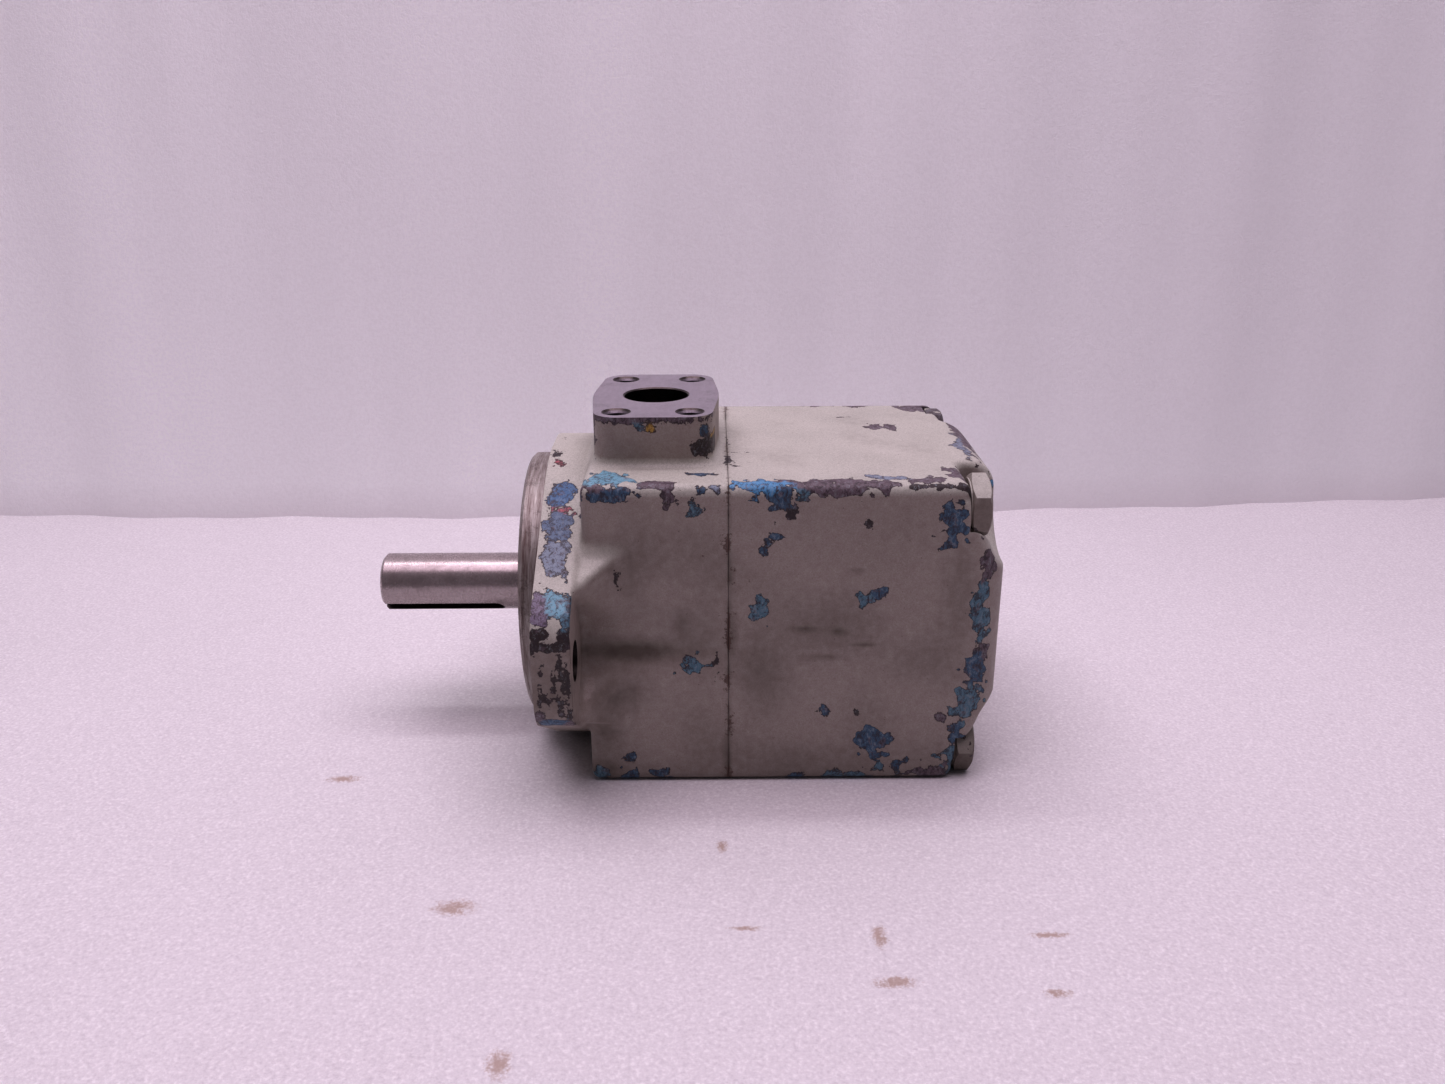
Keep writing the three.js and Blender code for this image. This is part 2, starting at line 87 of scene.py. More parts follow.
def round_min(a, b, radius):
    """Where either field is inside, with a fillet in the corner between them."""
    return -round_max(-a, -b, radius)


def flange_outline(y, z, inset=0.0):
    """The two-bolt flange's outline: flat top, sloped shoulders and blunt ears."""
    y, z = np.abs(y), np.abs(z)
    normal = np.array([HALF - EAR_TIP_Z, EAR_TIP - SHOULDER_Y])
    normal /= np.hypot(*normal)
    slope = normal[0] * (y - EAR_TIP) + normal[1] * (z - EAR_TIP_Z)
    return round_max(round_max(slope, z - HALF, 7.3), y - EAR_TIP, 6.8) + inset


def square_outline(y, z):
    inner = HALF - EDGE_RADIUS
    y, z = np.abs(y) - inner, np.abs(z) - inner
    return (np.hypot(np.maximum(y, 0), np.maximum(z, 0))
            + np.minimum(np.maximum(y, z), 0) - EDGE_RADIUS)


def port_pad(u, v, height):
    """A flanged port's pad, with barrel sides: u across, v along, height above the axis."""
    side = PAD_COS * np.abs(u) + PAD_SIN * np.sqrt(v * v + PAD_BULGE) - PAD_HALF
    outline = round_max(side, np.abs(v) - PAD_REACH, PAD_CORNER)
    return np.maximum(outline, height - PORT_FACE - 1.5)


def front_casting(x, y, z):
    flange = round_max(flange_outline(y, z), x - FLANGE_THICK, 1.0)
    flange = np.maximum(flange, -1.5 - x)
    fall = np.array([RAMP_Y - HALF, RAMP_END - FLANGE_THICK])
    fall /= np.hypot(*fall)
    ramp = fall[0] * (x - FLANGE_THICK) + fall[1] * (np.abs(y) - RAMP_Y)
    neck = np.maximum(round_max(flange_outline(y, z, 1.4), ramp, 1.4), 2 - x)
    neck = np.maximum(neck, x - RAMP_END - 4)
    narrowing = (SCALLOP_RADIUS - BOLT_Y + HALF) / (SCALLOP_END - FLANGE_THICK)
    scallop = np.hypot(np.abs(y) - BOLT_Y, z) - SCALLOP_RADIUS + narrowing * (x - FLANGE_THICK)
    block = round_max(square_outline(y, z), BLOCK_START - x, 3.2)
    block = np.maximum(block, x - SPLIT - 1.5)
    pad = port_pad(x - PORT_X, y, z)
    body = round_min(block, neck, 3.5)
    body = round_max(body, -scallop, 5.0)
    body = round_min(body, flange, 2.6)
    body = np.maximum(body, np.abs(z) - HALF)
    return round_min(body, np.maximum(pad, 40 - z), 2.6)


def rear_casting(x, y, z):
    block = round_max(square_outline(y, z), x - REAR_END, REAR_RADIUS)
    block = np.maximum(block, SPLIT - 1.5 - x)
    pocket = np.hypot(np.abs(y) - SCREW_AT, np.abs(z) - SCREW_AT) - POCKET_RADIUS
    lean = np.where((y > 0) & (z > 0), SHALLOWER,
                    np.maximum(0, 0.5 * (SCREW_AT + 5 - np.abs(z))))
    pocket = round_max(pocket, POCKET_FLOOR + lean - x, 3.0)
    body = round_max(block, -pocket, 4.0)
    pad = port_pad(x - REAR_PORT_X, z, y)
    return round_min(body, np.maximum(pad, 40 - y), 4.5)


def distances(field, low, counts, step, chunk=8, far=9):
    """The field on a grid, worked out exactly only in the chunks near the surface."""
    chunks = -(-np.asarray(counts) // chunk)
    middle = (chunk - 1) * step / 2
    centres = [low[a] + middle + step * chunk * np.arange(chunks[a]) for a in range(3)]
    coarse = field(*np.meshgrid(*centres, indexing="ij"))
    values = np.sign(coarse).astype(np.float32) * far
    for axis in range(3):
        values = np.repeat(values, chunk, axis)
    reach = math.sqrt(3) * step * (chunk / 2 + 1)
    offset = step * np.arange(chunk)
    for i, j, k in np.argwhere(np.abs(coarse) < reach * 1.3):
        corner = [low[a] + step * chunk * n for a, n in enumerate((i, j, k))]
        x, y, z = np.meshgrid(*[c + offset for c in corner], indexing="ij")
        place = tuple(slice(n * chunk, (n + 1) * chunk) for n in (i, j, k))
        values[place] = field(x, y, z)
    return values


def gradient(field, points, reach=0.05):
    steps = []
    for axis in range(3):
        ahead, behind = points.copy(), points.copy()
        ahead[:, axis] += reach
        behind[:, axis] -= reach
        steps.append(field(*ahead.T) - field(*behind.T))
    return np.stack(steps, 1) / (2 * reach)


def surface_net(field, low, high, step):
    """Vertices and quads of the field's zero surface, one vertex to a grid cell."""
    counts = np.ceil((np.asarray(high) - low) / step).astype(int) + 1
    values = distances(field, low, counts, step)
    inside = values < 0
    shape = np.array(values.shape)
    strides = np.array([shape[1] * shape[2], shape[2], 1])
    faces, cells_hit, crossings = [], [], []
    for axis in range(3):
        across = [slice(None)] * 3
        ahead = list(across)
        across[axis], ahead[axis] = slice(0, -1), slice(1, None)
        start = np.argwhere(inside[tuple(across)] != inside[tuple(ahead)])
        first = values[tuple(start.T)]
        end = start.copy()
        end[:, axis] += 1
        second = values[tuple(end.T)]
        point = start.astype(float)
        point[:, axis] += first / (first - second)
        u, v = (axis + 1) % 3, (axis + 2) % 3
        corners = []
        for du, dv in ((1, 1), (0, 1), (0, 0), (1, 0)):
            cell = start.copy()
            cell[:, u] -= du
            cell[:, v] -= dv
            corners.append(cell @ strides)
        quad = np.stack(corners, 1)
        flip = first > 0
        quad[flip] = quad[flip][:, ::-1]
        faces.append(quad)
        cells_hit.extend(corners)
        crossings.extend([point] * 4)
    cells_hit, crossings = np.concatenate(cells_hit), np.concatenate(crossings)
    cells, index = np.unique(cells_hit, return_inverse=True)
    hits = np.bincount(index)
    points = np.stack([np.bincount(index, crossings[:, a]) / hits for a in range(3)], 1)
    quads = np.searchsorted(cells, np.concatenate(faces))
    return points * step + low, quads


def even_out(field, points, quads, rounds=3, share=0.6):
    """Slides vertices towards their neighbours' middle, then back onto the surface."""
    ends = np.concatenate([quads[:, [k, (k + 1) % 4]] for k in range(4)])
    degree = np.bincount(ends[:, 0], minlength=len(points)) \
        + np.bincount(ends[:, 1], minlength=len(points))
    for turn in range(rounds + 1):
        for _ in range(2):
            slope = gradient(field, points)
            size = np.maximum((slope ** 2).sum(1), 0.2)
            points = points - slope * (field(*points.T) / size)[:, None]
        if turn == rounds:
            return points
        mean = np.stack([np.bincount(ends[:, 0], points[ends[:, 1], a], len(points))
                         + np.bincount(ends[:, 1], points[ends[:, 0], a], len(points))
                         for a in range(3)], 1) / degree[:, None]
        points = points + share * (mean - points)


def casting(field, low, high, step):
    points, quads = surface_net(field, np.array(low, float), high, step)
    points = even_out(field, points, quads)
    mesh = bpy.data.meshes.new("casting")
    mesh.vertices.add(len(points))
    mesh.vertices.foreach_set("co", points.astype(np.float32).ravel())
    mesh.loops.add(quads.size)
    mesh.loops.foreach_set("vertex_index", quads.ravel().astype(np.int32))
    mesh.polygons.add(len(quads))
    mesh.polygons.foreach_set("loop_start", np.arange(0, quads.size, 4, dtype=np.int32))
    mesh.update(calc_edges=True)
    mesh.validate()
    return linked("casting", mesh)


# ================================================================ mesh helpers
def linked(name, mesh):
    piece = bpy.data.objects.new(name, mesh)
    bpy.context.scene.collection.objects.link(piece)
    return piece


def new_object(points, faces):
    """A closed mesh with its doubled points joined and its faces turned outwards."""
    mesh = bpy.data.meshes.new("piece")
    mesh.from_pydata([tuple(p) for p in points], [], [tuple(f) for f in faces])
    shape = bmesh.new()
    shape.from_mesh(mesh)
    bmesh.ops.remove_doubles(shape, verts=shape.verts, dist=1e-4)
    bmesh.ops.recalc_face_normals(shape, faces=shape.faces)
    shape.to_mesh(mesh)
    shape.free()
    return linked("piece", mesh)


def filleted(outline, radius, steps=2):
    """The closed outline with its corners rounded, except where it touches the axis."""
    outline = [np.array(point, float) for point in outline]
    done = []
    for i, corner in enumerate(outline):
        back, on = outline[i - 1] - corner, outline[(i + 1) % len(outline)] - corner
        lengths = np.hypot(*back), np.hypot(*on)
        back, on = back / lengths[0], on / lengths[1]
        half = math.acos(max(-1.0, min(1.0, float(back @ on)))) / 2
        if abs(corner[1]) < 1e-6 or half > 1.4 or half < 0.1:
            done.append(corner)
            continue
        reach = min(radius / math.tan(half), 0.4 * lengths[0], 0.4 * lengths[1])
        first, last = corner + back * reach, corner + on * reach
        for k in range(steps + 1):
            t = k / steps
            done.append((1 - t) ** 2 * first + 2 * t * (1 - t) * corner + t * t * last)
    return done


def turned(profile, segments=96, axis=0, centre=(0, 0, 0), fillet=0.0):
    """A closed [along, radius] profile turned about a line through the centre."""
    if fillet:
        profile = filleted(profile, fillet)
    along, radius = np.array(profile, float).T
    angles = np.linspace(0, 2 * math.pi, segments, endpoint=False)
    points = np.zeros((len(along), segments, 3))
    points[..., axis] = along[:, None]
    points[..., (axis + 1) % 3] = radius[:, None] * np.cos(angles)
    points[..., (axis + 2) % 3] = radius[:, None] * np.sin(angles)
    points = points.reshape(-1, 3) + np.array(centre, float)
    faces = []
    for i in range(len(along)):
        j = (i + 1) % len(along)
        if radius[i] < 1e-6 and radius[j] < 1e-6:
            continue
        for k in range(segments):
            n = (k + 1) % segments
            ring = [i * segments + k, i * segments + n, j * segments + n, j * segments + k]
            if radius[i] < 1e-6:
                ring = [i * segments, *ring[2:]]
            elif radius[j] < 1e-6:
                ring = [*ring[:2], j * segments]
            faces.append(ring)
    return new_object(points, faces)


def extruded(outline, low, high, bevel=0.0, axis=0):
    """An outline pushed along an axis, with its sharp edges bevelled."""
    count = len(outline)
    points = np.zeros((2 * count, 3))
    for part, level in enumerate((low, high)):
        points[part * count:(part + 1) * count, axis] = level
        points[part * count:(part + 1) * count, (axis + 1) % 3] = [p[0] for p in outline]
        points[part * count:(part + 1) * count, (axis + 2) % 3] = [p[1] for p in outline]
    faces = [range(count), range(count, 2 * count)]
    faces += [[k, (k + 1) % count, count + (k + 1) % count, count + k] for k in range(count)]
    piece = new_object(points, faces)
    if bevel:
        shape = bmesh.new()
        shape.from_mesh(piece.data)
        sharp = [e for e in shape.edges if e.calc_face_angle(0) > 0.6]
        bmesh.ops.bevel(shape, geom=sharp, offset=bevel, segments=2, profile=0.5,
                        affect="EDGES", clamp_overlap=True)
        shape.to_mesh(piece.data)
        shape.free()
    return piece


def arc(radius, start, end, steps, centre=(0, 0)):
    angles = np.radians(np.linspace(start, end, steps + 1))
    return list(zip(centre[0] + radius * np.cos(angles), centre[1] + radius * np.sin(angles)))


def circle(radius, steps):
    return arc(radius, 0, 360, steps)[:-1]


def polar(radius, degrees):
    return radius * math.cos(math.radians(degrees)), radius * math.sin(math.radians(degrees))


def box(low, high):
    outline = [(low[1], low[2]), (high[1], low[2]), (high[1], high[2]), (low[1], high[2])]
    return extruded(outline, low[0], high[0])


def boolean(piece, tool, operation="DIFFERENCE", solver="MANIFOLD"):
    change = piece.modifiers.new("boolean", "BOOLEAN")
    change.operation, change.object, change.solver = operation, tool, solver
    before = piece.data
    evaluated = piece.evaluated_get(bpy.context.evaluated_depsgraph_get())
    piece.data = bpy.data.meshes.new_from_object(evaluated)
    piece.modifiers.clear()
    bpy.data.meshes.remove(before)
    spare = tool.data
    bpy.data.objects.remove(tool)
    bpy.data.meshes.remove(spare)


def bar(radius, start, end, centre=(0, 0, 0), axis=0, segments=48):
    return turned([(start, 0), (start, radius), (end, radius), (end, 0)], segments, axis,
                  centre)


def tapped(mouth, floor, radius, pitch=1.5, chamfer=0.7):
    """Profile of a tapped hole: a chamfered mouth, thread ridges and the drill's point."""
    profile = [(mouth + 1, 0), (mouth + 1, radius + chamfer + 1), (mouth - chamfer, radius)]
    level = mouth - chamfer
    while level - pitch > floor + 1:
        profile += [(level - pitch / 2, radius - 0.75), (level - pitch, radius)]
        level -= pitch
    return profile + [(floor, radius - 0.75), (floor - 0.3 * radius, 0)]


def threaded(start, end, radius, pitch=1.75, depth=0.55):
    """Profile points of an outside thread, from start to end."""
    turns = int((end - start) / pitch)
    points = []
    for k in range(turns):
        points += [(start + k * pitch, radius - depth), (start + (k + 0.5) * pitch, radius)]
    return points


def hex_head(across, low, high, centre=(0, 0), turn=0.0, axis=0):
    """A hexagon with its corners chamfered, on a low washer face."""
    corner = across / math.sqrt(3)
    hexagon = [(centre[0] + y, centre[1] + z)
               for y, z in (polar(corner, turn + 60 * k) for k in range(6))]
    head = extruded(hexagon, low, high, 0.25, axis)
    middle = [0.0, 0.0, 0.0]
    middle[(axis + 1) % 3], middle[(axis + 2) % 3] = centre
    flat, wide, washer_face = 0.47 * across, corner + 1, 0.4
    cone = [(low - 1, 0), (low - 1, flat), (low + washer_face, flat),
            (low + washer_face + 0.4 * (wide - flat), wide),
            (high - 0.58 * (wide - flat), wide), (high, flat), (high, 0)]
    boolean(head, turned(cone, 64, axis, middle), "INTERSECT")
    return head


def about_shaft(degrees):
    return Matrix.Rotation(math.radians(degrees), 4, "X")


# ================================================================ the two castings
PIN_CIRCLE = 39.0
CORNERS = ((-1, 1), (1, 1), (1, -1), (-1, -1))


def port_cuts(piece, x, axis):
    """Bore, chamfer and four tapped holes of a flanged port that faces along an axis."""
    def centre(across, along):
        return (x + across, along, 0) if axis == 2 else (x + across, 0, along)
    bore = [(30, 0), (30, PORT_RADIUS - 1), (PORT_FACE - 14, PORT_RADIUS - 1),
            (PORT_FACE - 13, PORT_RADIUS), (PORT_FACE - 0.5, PORT_RADIUS),
            (PORT_FACE + 1, PORT_RADIUS + 1.5), (PORT_FACE + 1, 0)]
    boolean(piece, turned(bore, 96, axis, centre(0, 0)))
    for across, along in CORNERS:
        place = centre(across * PORT_HOLES[0], along * PORT_HOLES[1])
        boolean(piece, turned(tapped(PORT_FACE, 60, PORT_TAP), 40, axis, place))


def front_housing():
    piece = casting(front_casting, (-3, -88, -60), (68, 88, 78), MESH_STEP)
    back = SPLIT - JOINT_GAP / 2
    boolean(piece, box((-9, -BEYOND, -BEYOND), (0, BEYOND, BEYOND)))
    boolean(piece, box((back, -BEYOND, -BEYOND), (BEYOND, BEYOND, BEYOND)))
    boolean(piece, box((0, -60, PORT_FACE), (90, 60, BEYOND)))
    pilot = [(-PILOT_HEIGHT, 0), (-PILOT_HEIGHT, PILOT_RADIUS - 1.2),
             (-PILOT_HEIGHT + 1.2, PILOT_RADIUS), (-1.4, PILOT_RADIUS),
             (-1.1, PILOT_RADIUS - 0.5), (1, PILOT_RADIUS - 0.5), (1, 0)]
    boolean(piece, turned(pilot, 160), "UNION")
    bores = [(-11, 0), (-11, 28.3), (-9.5, 26.8), (-9.0, BEARING_SEAT), (-8.5, BEARING_SEAT),
             (-8.5, RING_GROOVE), (-6.3, RING_GROOVE), (-6.3, BEARING_SEAT), (9.3, BEARING_SEAT),
             (9.3, SEAL_SEAT), (22, SEAL_SEAT), (22, SHAFT_HOLE), (26, SHAFT_HOLE),
             (26, CHAMBER - 2), (28, CHAMBER), (46, CHAMBER), (46, CARTRIDGE_SEAT),
             (back - 0.6, CARTRIDGE_SEAT), (back + 1, CARTRIDGE_SEAT + 1.6), (back + 1, 0)]
    boolean(piece, turned(bores, 128))
    groove = [(back - 2.6, 47), (back - 2.6, 50), (back + 1, 50), (back + 1, 47)]
    boolean(piece, turned(groove, 128))
    port_cuts(piece, PORT_X, 2)
    drain = [(DRAIN_FLOOR, 0), (DRAIN_FLOOR, DRAIN_TAP), (HALF - 0.8, DRAIN_TAP),
             (HALF + 3, DRAIN_TAP + 3.8), (HALF + 3, 0)]
    boolean(piece, turned(drain, 48, 1, (DRAIN_X, 0, DRAIN_Z)))
    for side in (-1, 1):
        bolt = [(-1, 0), (-1, BOLT_HOLE_RADIUS + 1.6), (0.6, BOLT_HOLE_RADIUS),
                (FLANGE_THICK + 2, BOLT_HOLE_RADIUS), (FLANGE_THICK + 2, 0)]
        boolean(piece, turned(bolt, 64, 0, (0, side * BOLT_Y, 0)))
    for y, z in CORNERS:
        boolean(piece, bar(SCREW_HOLE, 38, back + 1, (0, y * SCREW_AT, z * SCREW_AT)))
    return piece


def rear_housing():
    piece = casting(rear_casting, (62, -60, -60), (165, 78, 60), MESH_STEP)
    front = SPLIT + JOINT_GAP / 2
    boolean(piece, box((0, -BEYOND, -BEYOND), (front, BEYOND, BEYOND)))
    boolean(piece, box((80, PORT_FACE, -60), (170, BEYOND, 60)))
    bores = [(front - 1, 0), (front - 1, CARTRIDGE_SEAT + 1.6), (front + 0.6, CARTRIDGE_SEAT),
             (108, CARTRIDGE_SEAT), (108, CHAMBER), (144, CHAMBER), (144, SHAFT_HOLE),
             (157.3, SHAFT_HOLE), (157.3, 0)]
    boolean(piece, turned(bores, 128))
    port_cuts(piece, REAR_PORT_X, 1)
    for y, z in CORNERS:
        centre = (0, y * SCREW_AT, z * SCREW_AT)
        boolean(piece, bar(SCREW_HOLE, front - 1, POCKET_FLOOR + 2, centre))
        boolean(piece, bar(SPOT_FACE, POCKET_FLOOR, REAR_END + 2, centre))
    return piece


# ================================================================ chips, soil and wear
# Linear colours of what shows where the last coat of paint has come away.
INKS = {
    "maroon": (0.155, 0.115, 0.135), "dark": (0.04, 0.028, 0.026), "navy": (0.055, 0.115, 0.19),
    "teal": (0.10, 0.20, 0.265), "cyan": (0.20, 0.42, 0.52), "blue": (0.10, 0.32, 0.55),
    "slate": (0.25, 0.30, 0.38), "red": (0.50, 0.13, 0.16), "orange": (0.48, 0.30, 0.07),
    "cobalt": (0.07, 0.17, 0.33), "steel": (0.12, 0.18, 0.28), "plum": (0.22, 0.18, 0.25),
}
# Chips by colour. On the near side and the top, unrolled over the edge between them: x, height up
# the near side (then on across the top), half width, half height, and how deep the middle is.
NEAR_CHIPS = {
    "cyan": ((23, 65, 7.5, 7, 3),),
    "navy": ((24, 54, 9, 3.2, 2), (56, 70, 3.0, 1.3, 1), (55, 56, 1.5, 1.4, 1),
             (29, -53, 2.6, 2.2, 1.2), (29, -47, 1.5, 1.2, 0.7), (40, -54, 2.8, 1.9, 1),
             (82, 52, 4.6, 3.6, 1.6), (81, 39.4, 1.6, 1.4, 1), (79, 36.6, 1.0, 1.6, 1),
             (77.2, 33.6, 0.8, 1.6, 1), (118, 17, 2.4, 1.8, 1.2), (100, -28, 1.6, 1.3, 1),
             (118, -40, 5.6, 5.8, 3), (128, -51, 2.5, 3.4, 1.4), (91, -56, 2.6, 1.4, 0.8),
             (143, 44, 4.6, 6.6, 1.6), (155, -12, 4.8, 6, 1.4), (147, -38, 2, 3.4, 0.8)),
    "maroon": ((19, 58, 3, 4, 2), (42, 59, 5, 4, 3), (45, 53, 1.8, 3, 1), (84, 61, 7, 2.4, 1),
               (100, 58, 14, 5, 3), (118, 58, 6, 2.6, 1.2), (134, 63, 4.4, 4, 1.4),
               (145, 70, 4, 9, 0.2), (156, 28, 3.6, 5, 1.6), (157, -3, 3.2, 3, 1.4),
               (142, -32, 1.2, 2.2, 0.8), (141, -54, 6, 2.6, 1.8), (124, 133, 2.2, 3.6, 0.7),
               (130, 133, 1.8, 3.6, 0.7), (104, 169, 5, 2, 1), (122, 169, 5.5, 2, 1),
               (159, 129, 4, 29, 1.4), (147, 164, 8, 5, 0.6)),
    "slate": ((61, 57, 3.6, 1.8, 0.3), (119, 65, 5.6, 2.2, 0.9), (154, 104, 2, 13, 0.6)),
    "teal": ((53, 49, 2.2, 2.2, 0.8), (53, -10, 3.4, 5.2, 0.4), (18, -54, 3.6, 2.4, 1.5),
             (91, 54, 3, 2.2, 1), (76, 11, 2.7, 3.3, 1.0), (113, 15, 3, 2.6, 1.4),
             (121, -51, 1.7, 2.8, 1.2), (104, -55, 2.8, 1.6, 1), (114, -55.4, 3.4, 1.3, 0.9),
             (156, 18, 3, 4.4, 1.4), (156, 8, 3.4, 7, 1.2), (152, -23, 4.6, 5, 1.2),
             (149, -29, 3.2, 4, 0.9), (146, -48, 2.8, 4, 1)),
    "dark": ((27, 21, 1.0, 4.4, 0.4), (61, -8, 0.7, 3.6, 0.4), (87, 47, 1.7, 1.5, 1),
             (113, 42, 2.2, 1.5, 0.4), (112, -29, 1.1, 1, 0.5), (139, 57, 2.8, 0.9, 1),
             (147, 57, 2.4, 1.3, 1), (130, 56.5, 1.8, 0.8, 1), (112, 149, 6, 1.2, 0.1),
             (66, 108, 0.8, 16, 0.0), (71, 98, 5, 1.3, 0.2), (65, 86, 1.2, 6, 0.4),
             (69, 80, 1.6, 0.8, 0.4)),
    "blue": ((79, 59, 9, 4.5, 3),),
}
# On the rim of the flange's near ear: x, height, half width and half height.
RIM_CHIPS = {
    "red": ((3.4, 55, 1.8, 0.7), (6.8, 43.8, 4.4, 1.0)),
    "dark": ((2.6, 56, 1.2, 0.4), (2.6, 15.2, 2.6, 1.6), (11, 14.6, 2.2, 1.8), (4, 10.8, 4.2, 1.8),
             (10.5, 11, 3.4, 1.4), (9.5, 2.5, 0.9, 6.5), (11.7, -2, 0.8, 8), (7.2, -3, 0.8, 4),
             (3.2, 2, 0.8, 2.6), (2.4, -8, 0.8, 4), (5, -11, 0.8, 3), (9.2, -11, 1.0, 4.6),
             (11.8, -15, 0.9, 4)),
    "cobalt": ((6.3, 47.4, 3.9, 2.9),),
    "steel": ((6.4, 39.6, 4.4, 3.6),),
    "slate": ((6.5, 32.8, 4.5, 4.2),),
    "cyan": ((7.6, 22.4, 3.6, 2.8),),
    "plum": ((3, 21, 2.6, 3),),
    "teal": ((11.6, 20, 1.6, 4.6),),
    "navy": ((6, -19.4, 5, 2.4),),
    "maroon": ((2, -16, 1.6, 3), (11, -20.5, 2, 2.2)),
}
# On the near wall of the upper port's pad: x and height, as above.
PAD_CHIPS = {
    "dark": ((57.5, 63.6, 4.4, 3.0),),
    "navy": ((57.5, 69.6, 1.5, 1.6),),
    "orange": ((60.5, 67, 1.8, 1.0), (38.5, 71.6, 1.5, 1.5)),
    "teal": ((34.5, 71.8, 1.4, 1.3),),
    "maroon": ((30, 74.6, 24, 1.5), (17, 68, 1.4, 6)),
}
# Darker places on the near side: smudges of dirt, and in the first row the painted shade along the
# bolt's scallop, where its upper wall turns down from the light; x, height, half width, half
# height, strength.
SOIL_AND_SHADE_PATCHES = (
    # The first row is painted shade in the bolt's scallop.
    (31, -5, 18, 4.2, 0.75), (22, -19, 8, 8, 0.3), (28, -22, 6, 6, 0.2), (20, -34, 7, 9, 0.3),
    (35, 32, 16, 10, 0.22), (56, 0, 10, 40, 0.12), (98, 3, 20, 12, 0.22), (76, -12, 8, 20, 0.25),
    (130, -10, 12, 9, 0.18), (146, 20, 6, 30, 0.2), (100, -48, 40, 8, 0.15), (67.0, 3, 1.4, 9, 0.3),
    (64.4, -46, 1.2, 10, 0.25), (66.2, 24, 0.8, 7, 0.25), (20, -52, 6, 4, 0.35),
    (92, 4, 5, 1.0, 0.4), (104, 3, 3, 1.6, 0.35), (113, -2, 5, 0.8, 0.4), (99, -7, 6, 1.0, 0.35),
    (110, 26, 3, 0.8, 0.3), (49, 6, 2.5, 5, 0.25),
)


def each_chip(table):
    return [(colour, chip) for colour, chips in table.items() for chip in chips]


def scattered_chips(seed, count):
    """Chips on the far side, the bottom and the rear: middle, half sizes and colour."""
    random = np.random.default_rng(seed)
    chips = []
    for _ in range(count):
        x = random.uniform(16, 162)
        edge, drift = random.choice([-HALF, HALF]), random.uniform(0, 9) ** 1.5
        if random.random() < 0.5:
            place = [x, HALF, edge - math.copysign(drift, edge)]
        else:
            place = [x, edge - math.copysign(drift, edge), -HALF]
        if random.random() < 0.34:
            place = [160.0, *random.uniform(-50, 50, 2)]
        if place[1] < -40:
            continue
        size = random.uniform(1.2, 5.5, 3)
        chips.append((np.array(place), size,
                      random.choice(["maroon", "navy", "teal", "dark", "maroon", "blue"])))
    return chips


def ripple(points, wavelength, seed):
    """Smooth seeded noise in space, mostly between -1 and 1."""
    random = np.random.default_rng(seed)
    total = np.zeros(len(points))
    for _ in range(7):
        way = random.normal(size=3)
        way *= 2 * math.pi / (wavelength * random.uniform(0.7, 1.5) * np.linalg.norm(way))
        total += np.sin(points @ way + random.uniform(0, 6.3))
    return total / 2.6


def warped(points, seed):
    """A shift in millimetres that makes a plain outline ragged."""
    return (1.3 * ripple(points, 13, seed) + 0.9 * ripple(points, 6, seed + 1)
            + 0.7 * ripple(points, 3.4, seed + 2))


def vertex_places(mesh):
    points = np.empty(len(mesh.vertices) * 3, np.float32)
    mesh.vertices.foreach_get("co", points)
    return points.reshape(-1, 3).astype(float)


def lay_chips(points):
    """How deep the paint is chipped at each point, and the colour that shows there."""
    x, y, z = points.T
    depth = np.full(len(points), -6.0)
    ink = np.tile(INKS["maroon"], (len(points), 1))

    def lay(value, colour, where):
        deeper = where & (value > depth)
        depth[deeper] = value[deeper]
        ink[deeper] = INKS[colour]

    def ragged(half_u, half_s):
        return min(1.0, 0.34 * min(half_u, half_s))

    inset = np.maximum(0, HALF - np.maximum(np.abs(y), np.abs(z)))
    shift_u, shift_s, swell = warped(points, 3), warped(points, 21), ripple(points, 5, 40)
    along = x + inset * (x > REAR_END - REAR_RADIUS)
    up_and_over = z + y + HALF
    on_rim = on_near_rim(x, y, z)
    on_pad = (z > HALF + 1.2) & (y < -20)
    near = ~on_rim & ~on_pad & ((y < -20) | (z > 50)) & (z > -57.3)
    for colour, (u, s, half_u, half_s, middle) in each_chip(NEAR_CHIPS):
        share = ragged(half_u, half_s)
        reach = np.hypot((along - u + share * shift_u) / half_u,
                         (up_and_over - s + share * shift_s) / half_s) * (1 + 0.25 * swell)
        lay((1 - reach) * min(half_u, half_s) * 0.9 + 0.5 * (middle > 0.5) - 0.6 * (middle < 0.3),
            colour, near)
    for table, where in ((RIM_CHIPS, on_rim), (PAD_CHIPS, on_pad)):
        for colour, (u, s, half_u, half_s) in each_chip(table):
            share = 0.3 * ragged(half_u, half_s)
            reach = np.cbrt(np.abs((x - u + share * shift_u) / half_u) ** 3
                            + np.abs((z - s + share * shift_s) / half_s) ** 3)
            size = min(half_u, half_s)
            lay((1 - reach * (1 + 0.12 * swell)) * size * 0.9 + 0.4 * (size > 1.2), colour, where)
    for place, size, colour in scattered_chips(seed=11, count=90):
        reach = np.sqrt((((points - place) / size) ** 2).sum(1)) * (1 + 0.35 * swell)
        lay((1 - reach) * size.min(), colour, (y > -45) | (z < -50))
    return depth, ink


def hollowness(field, points, reach=1.6):
    """How the surface bends within reach of each point: below zero in a corner."""
    bend = -6 * field(*points.T)
    for axis in range(3):
        for side in (-reach, reach):
            moved = points.copy()
            moved[:, axis] += side
            bend += field(*moved.T)
    return bend / reach


def on_near_rim(x, y, z):
    return (x < FLANGE_THICK + 0.6) & (np.abs(flange_outline(y, z)) < 1.6) & (y < 10)


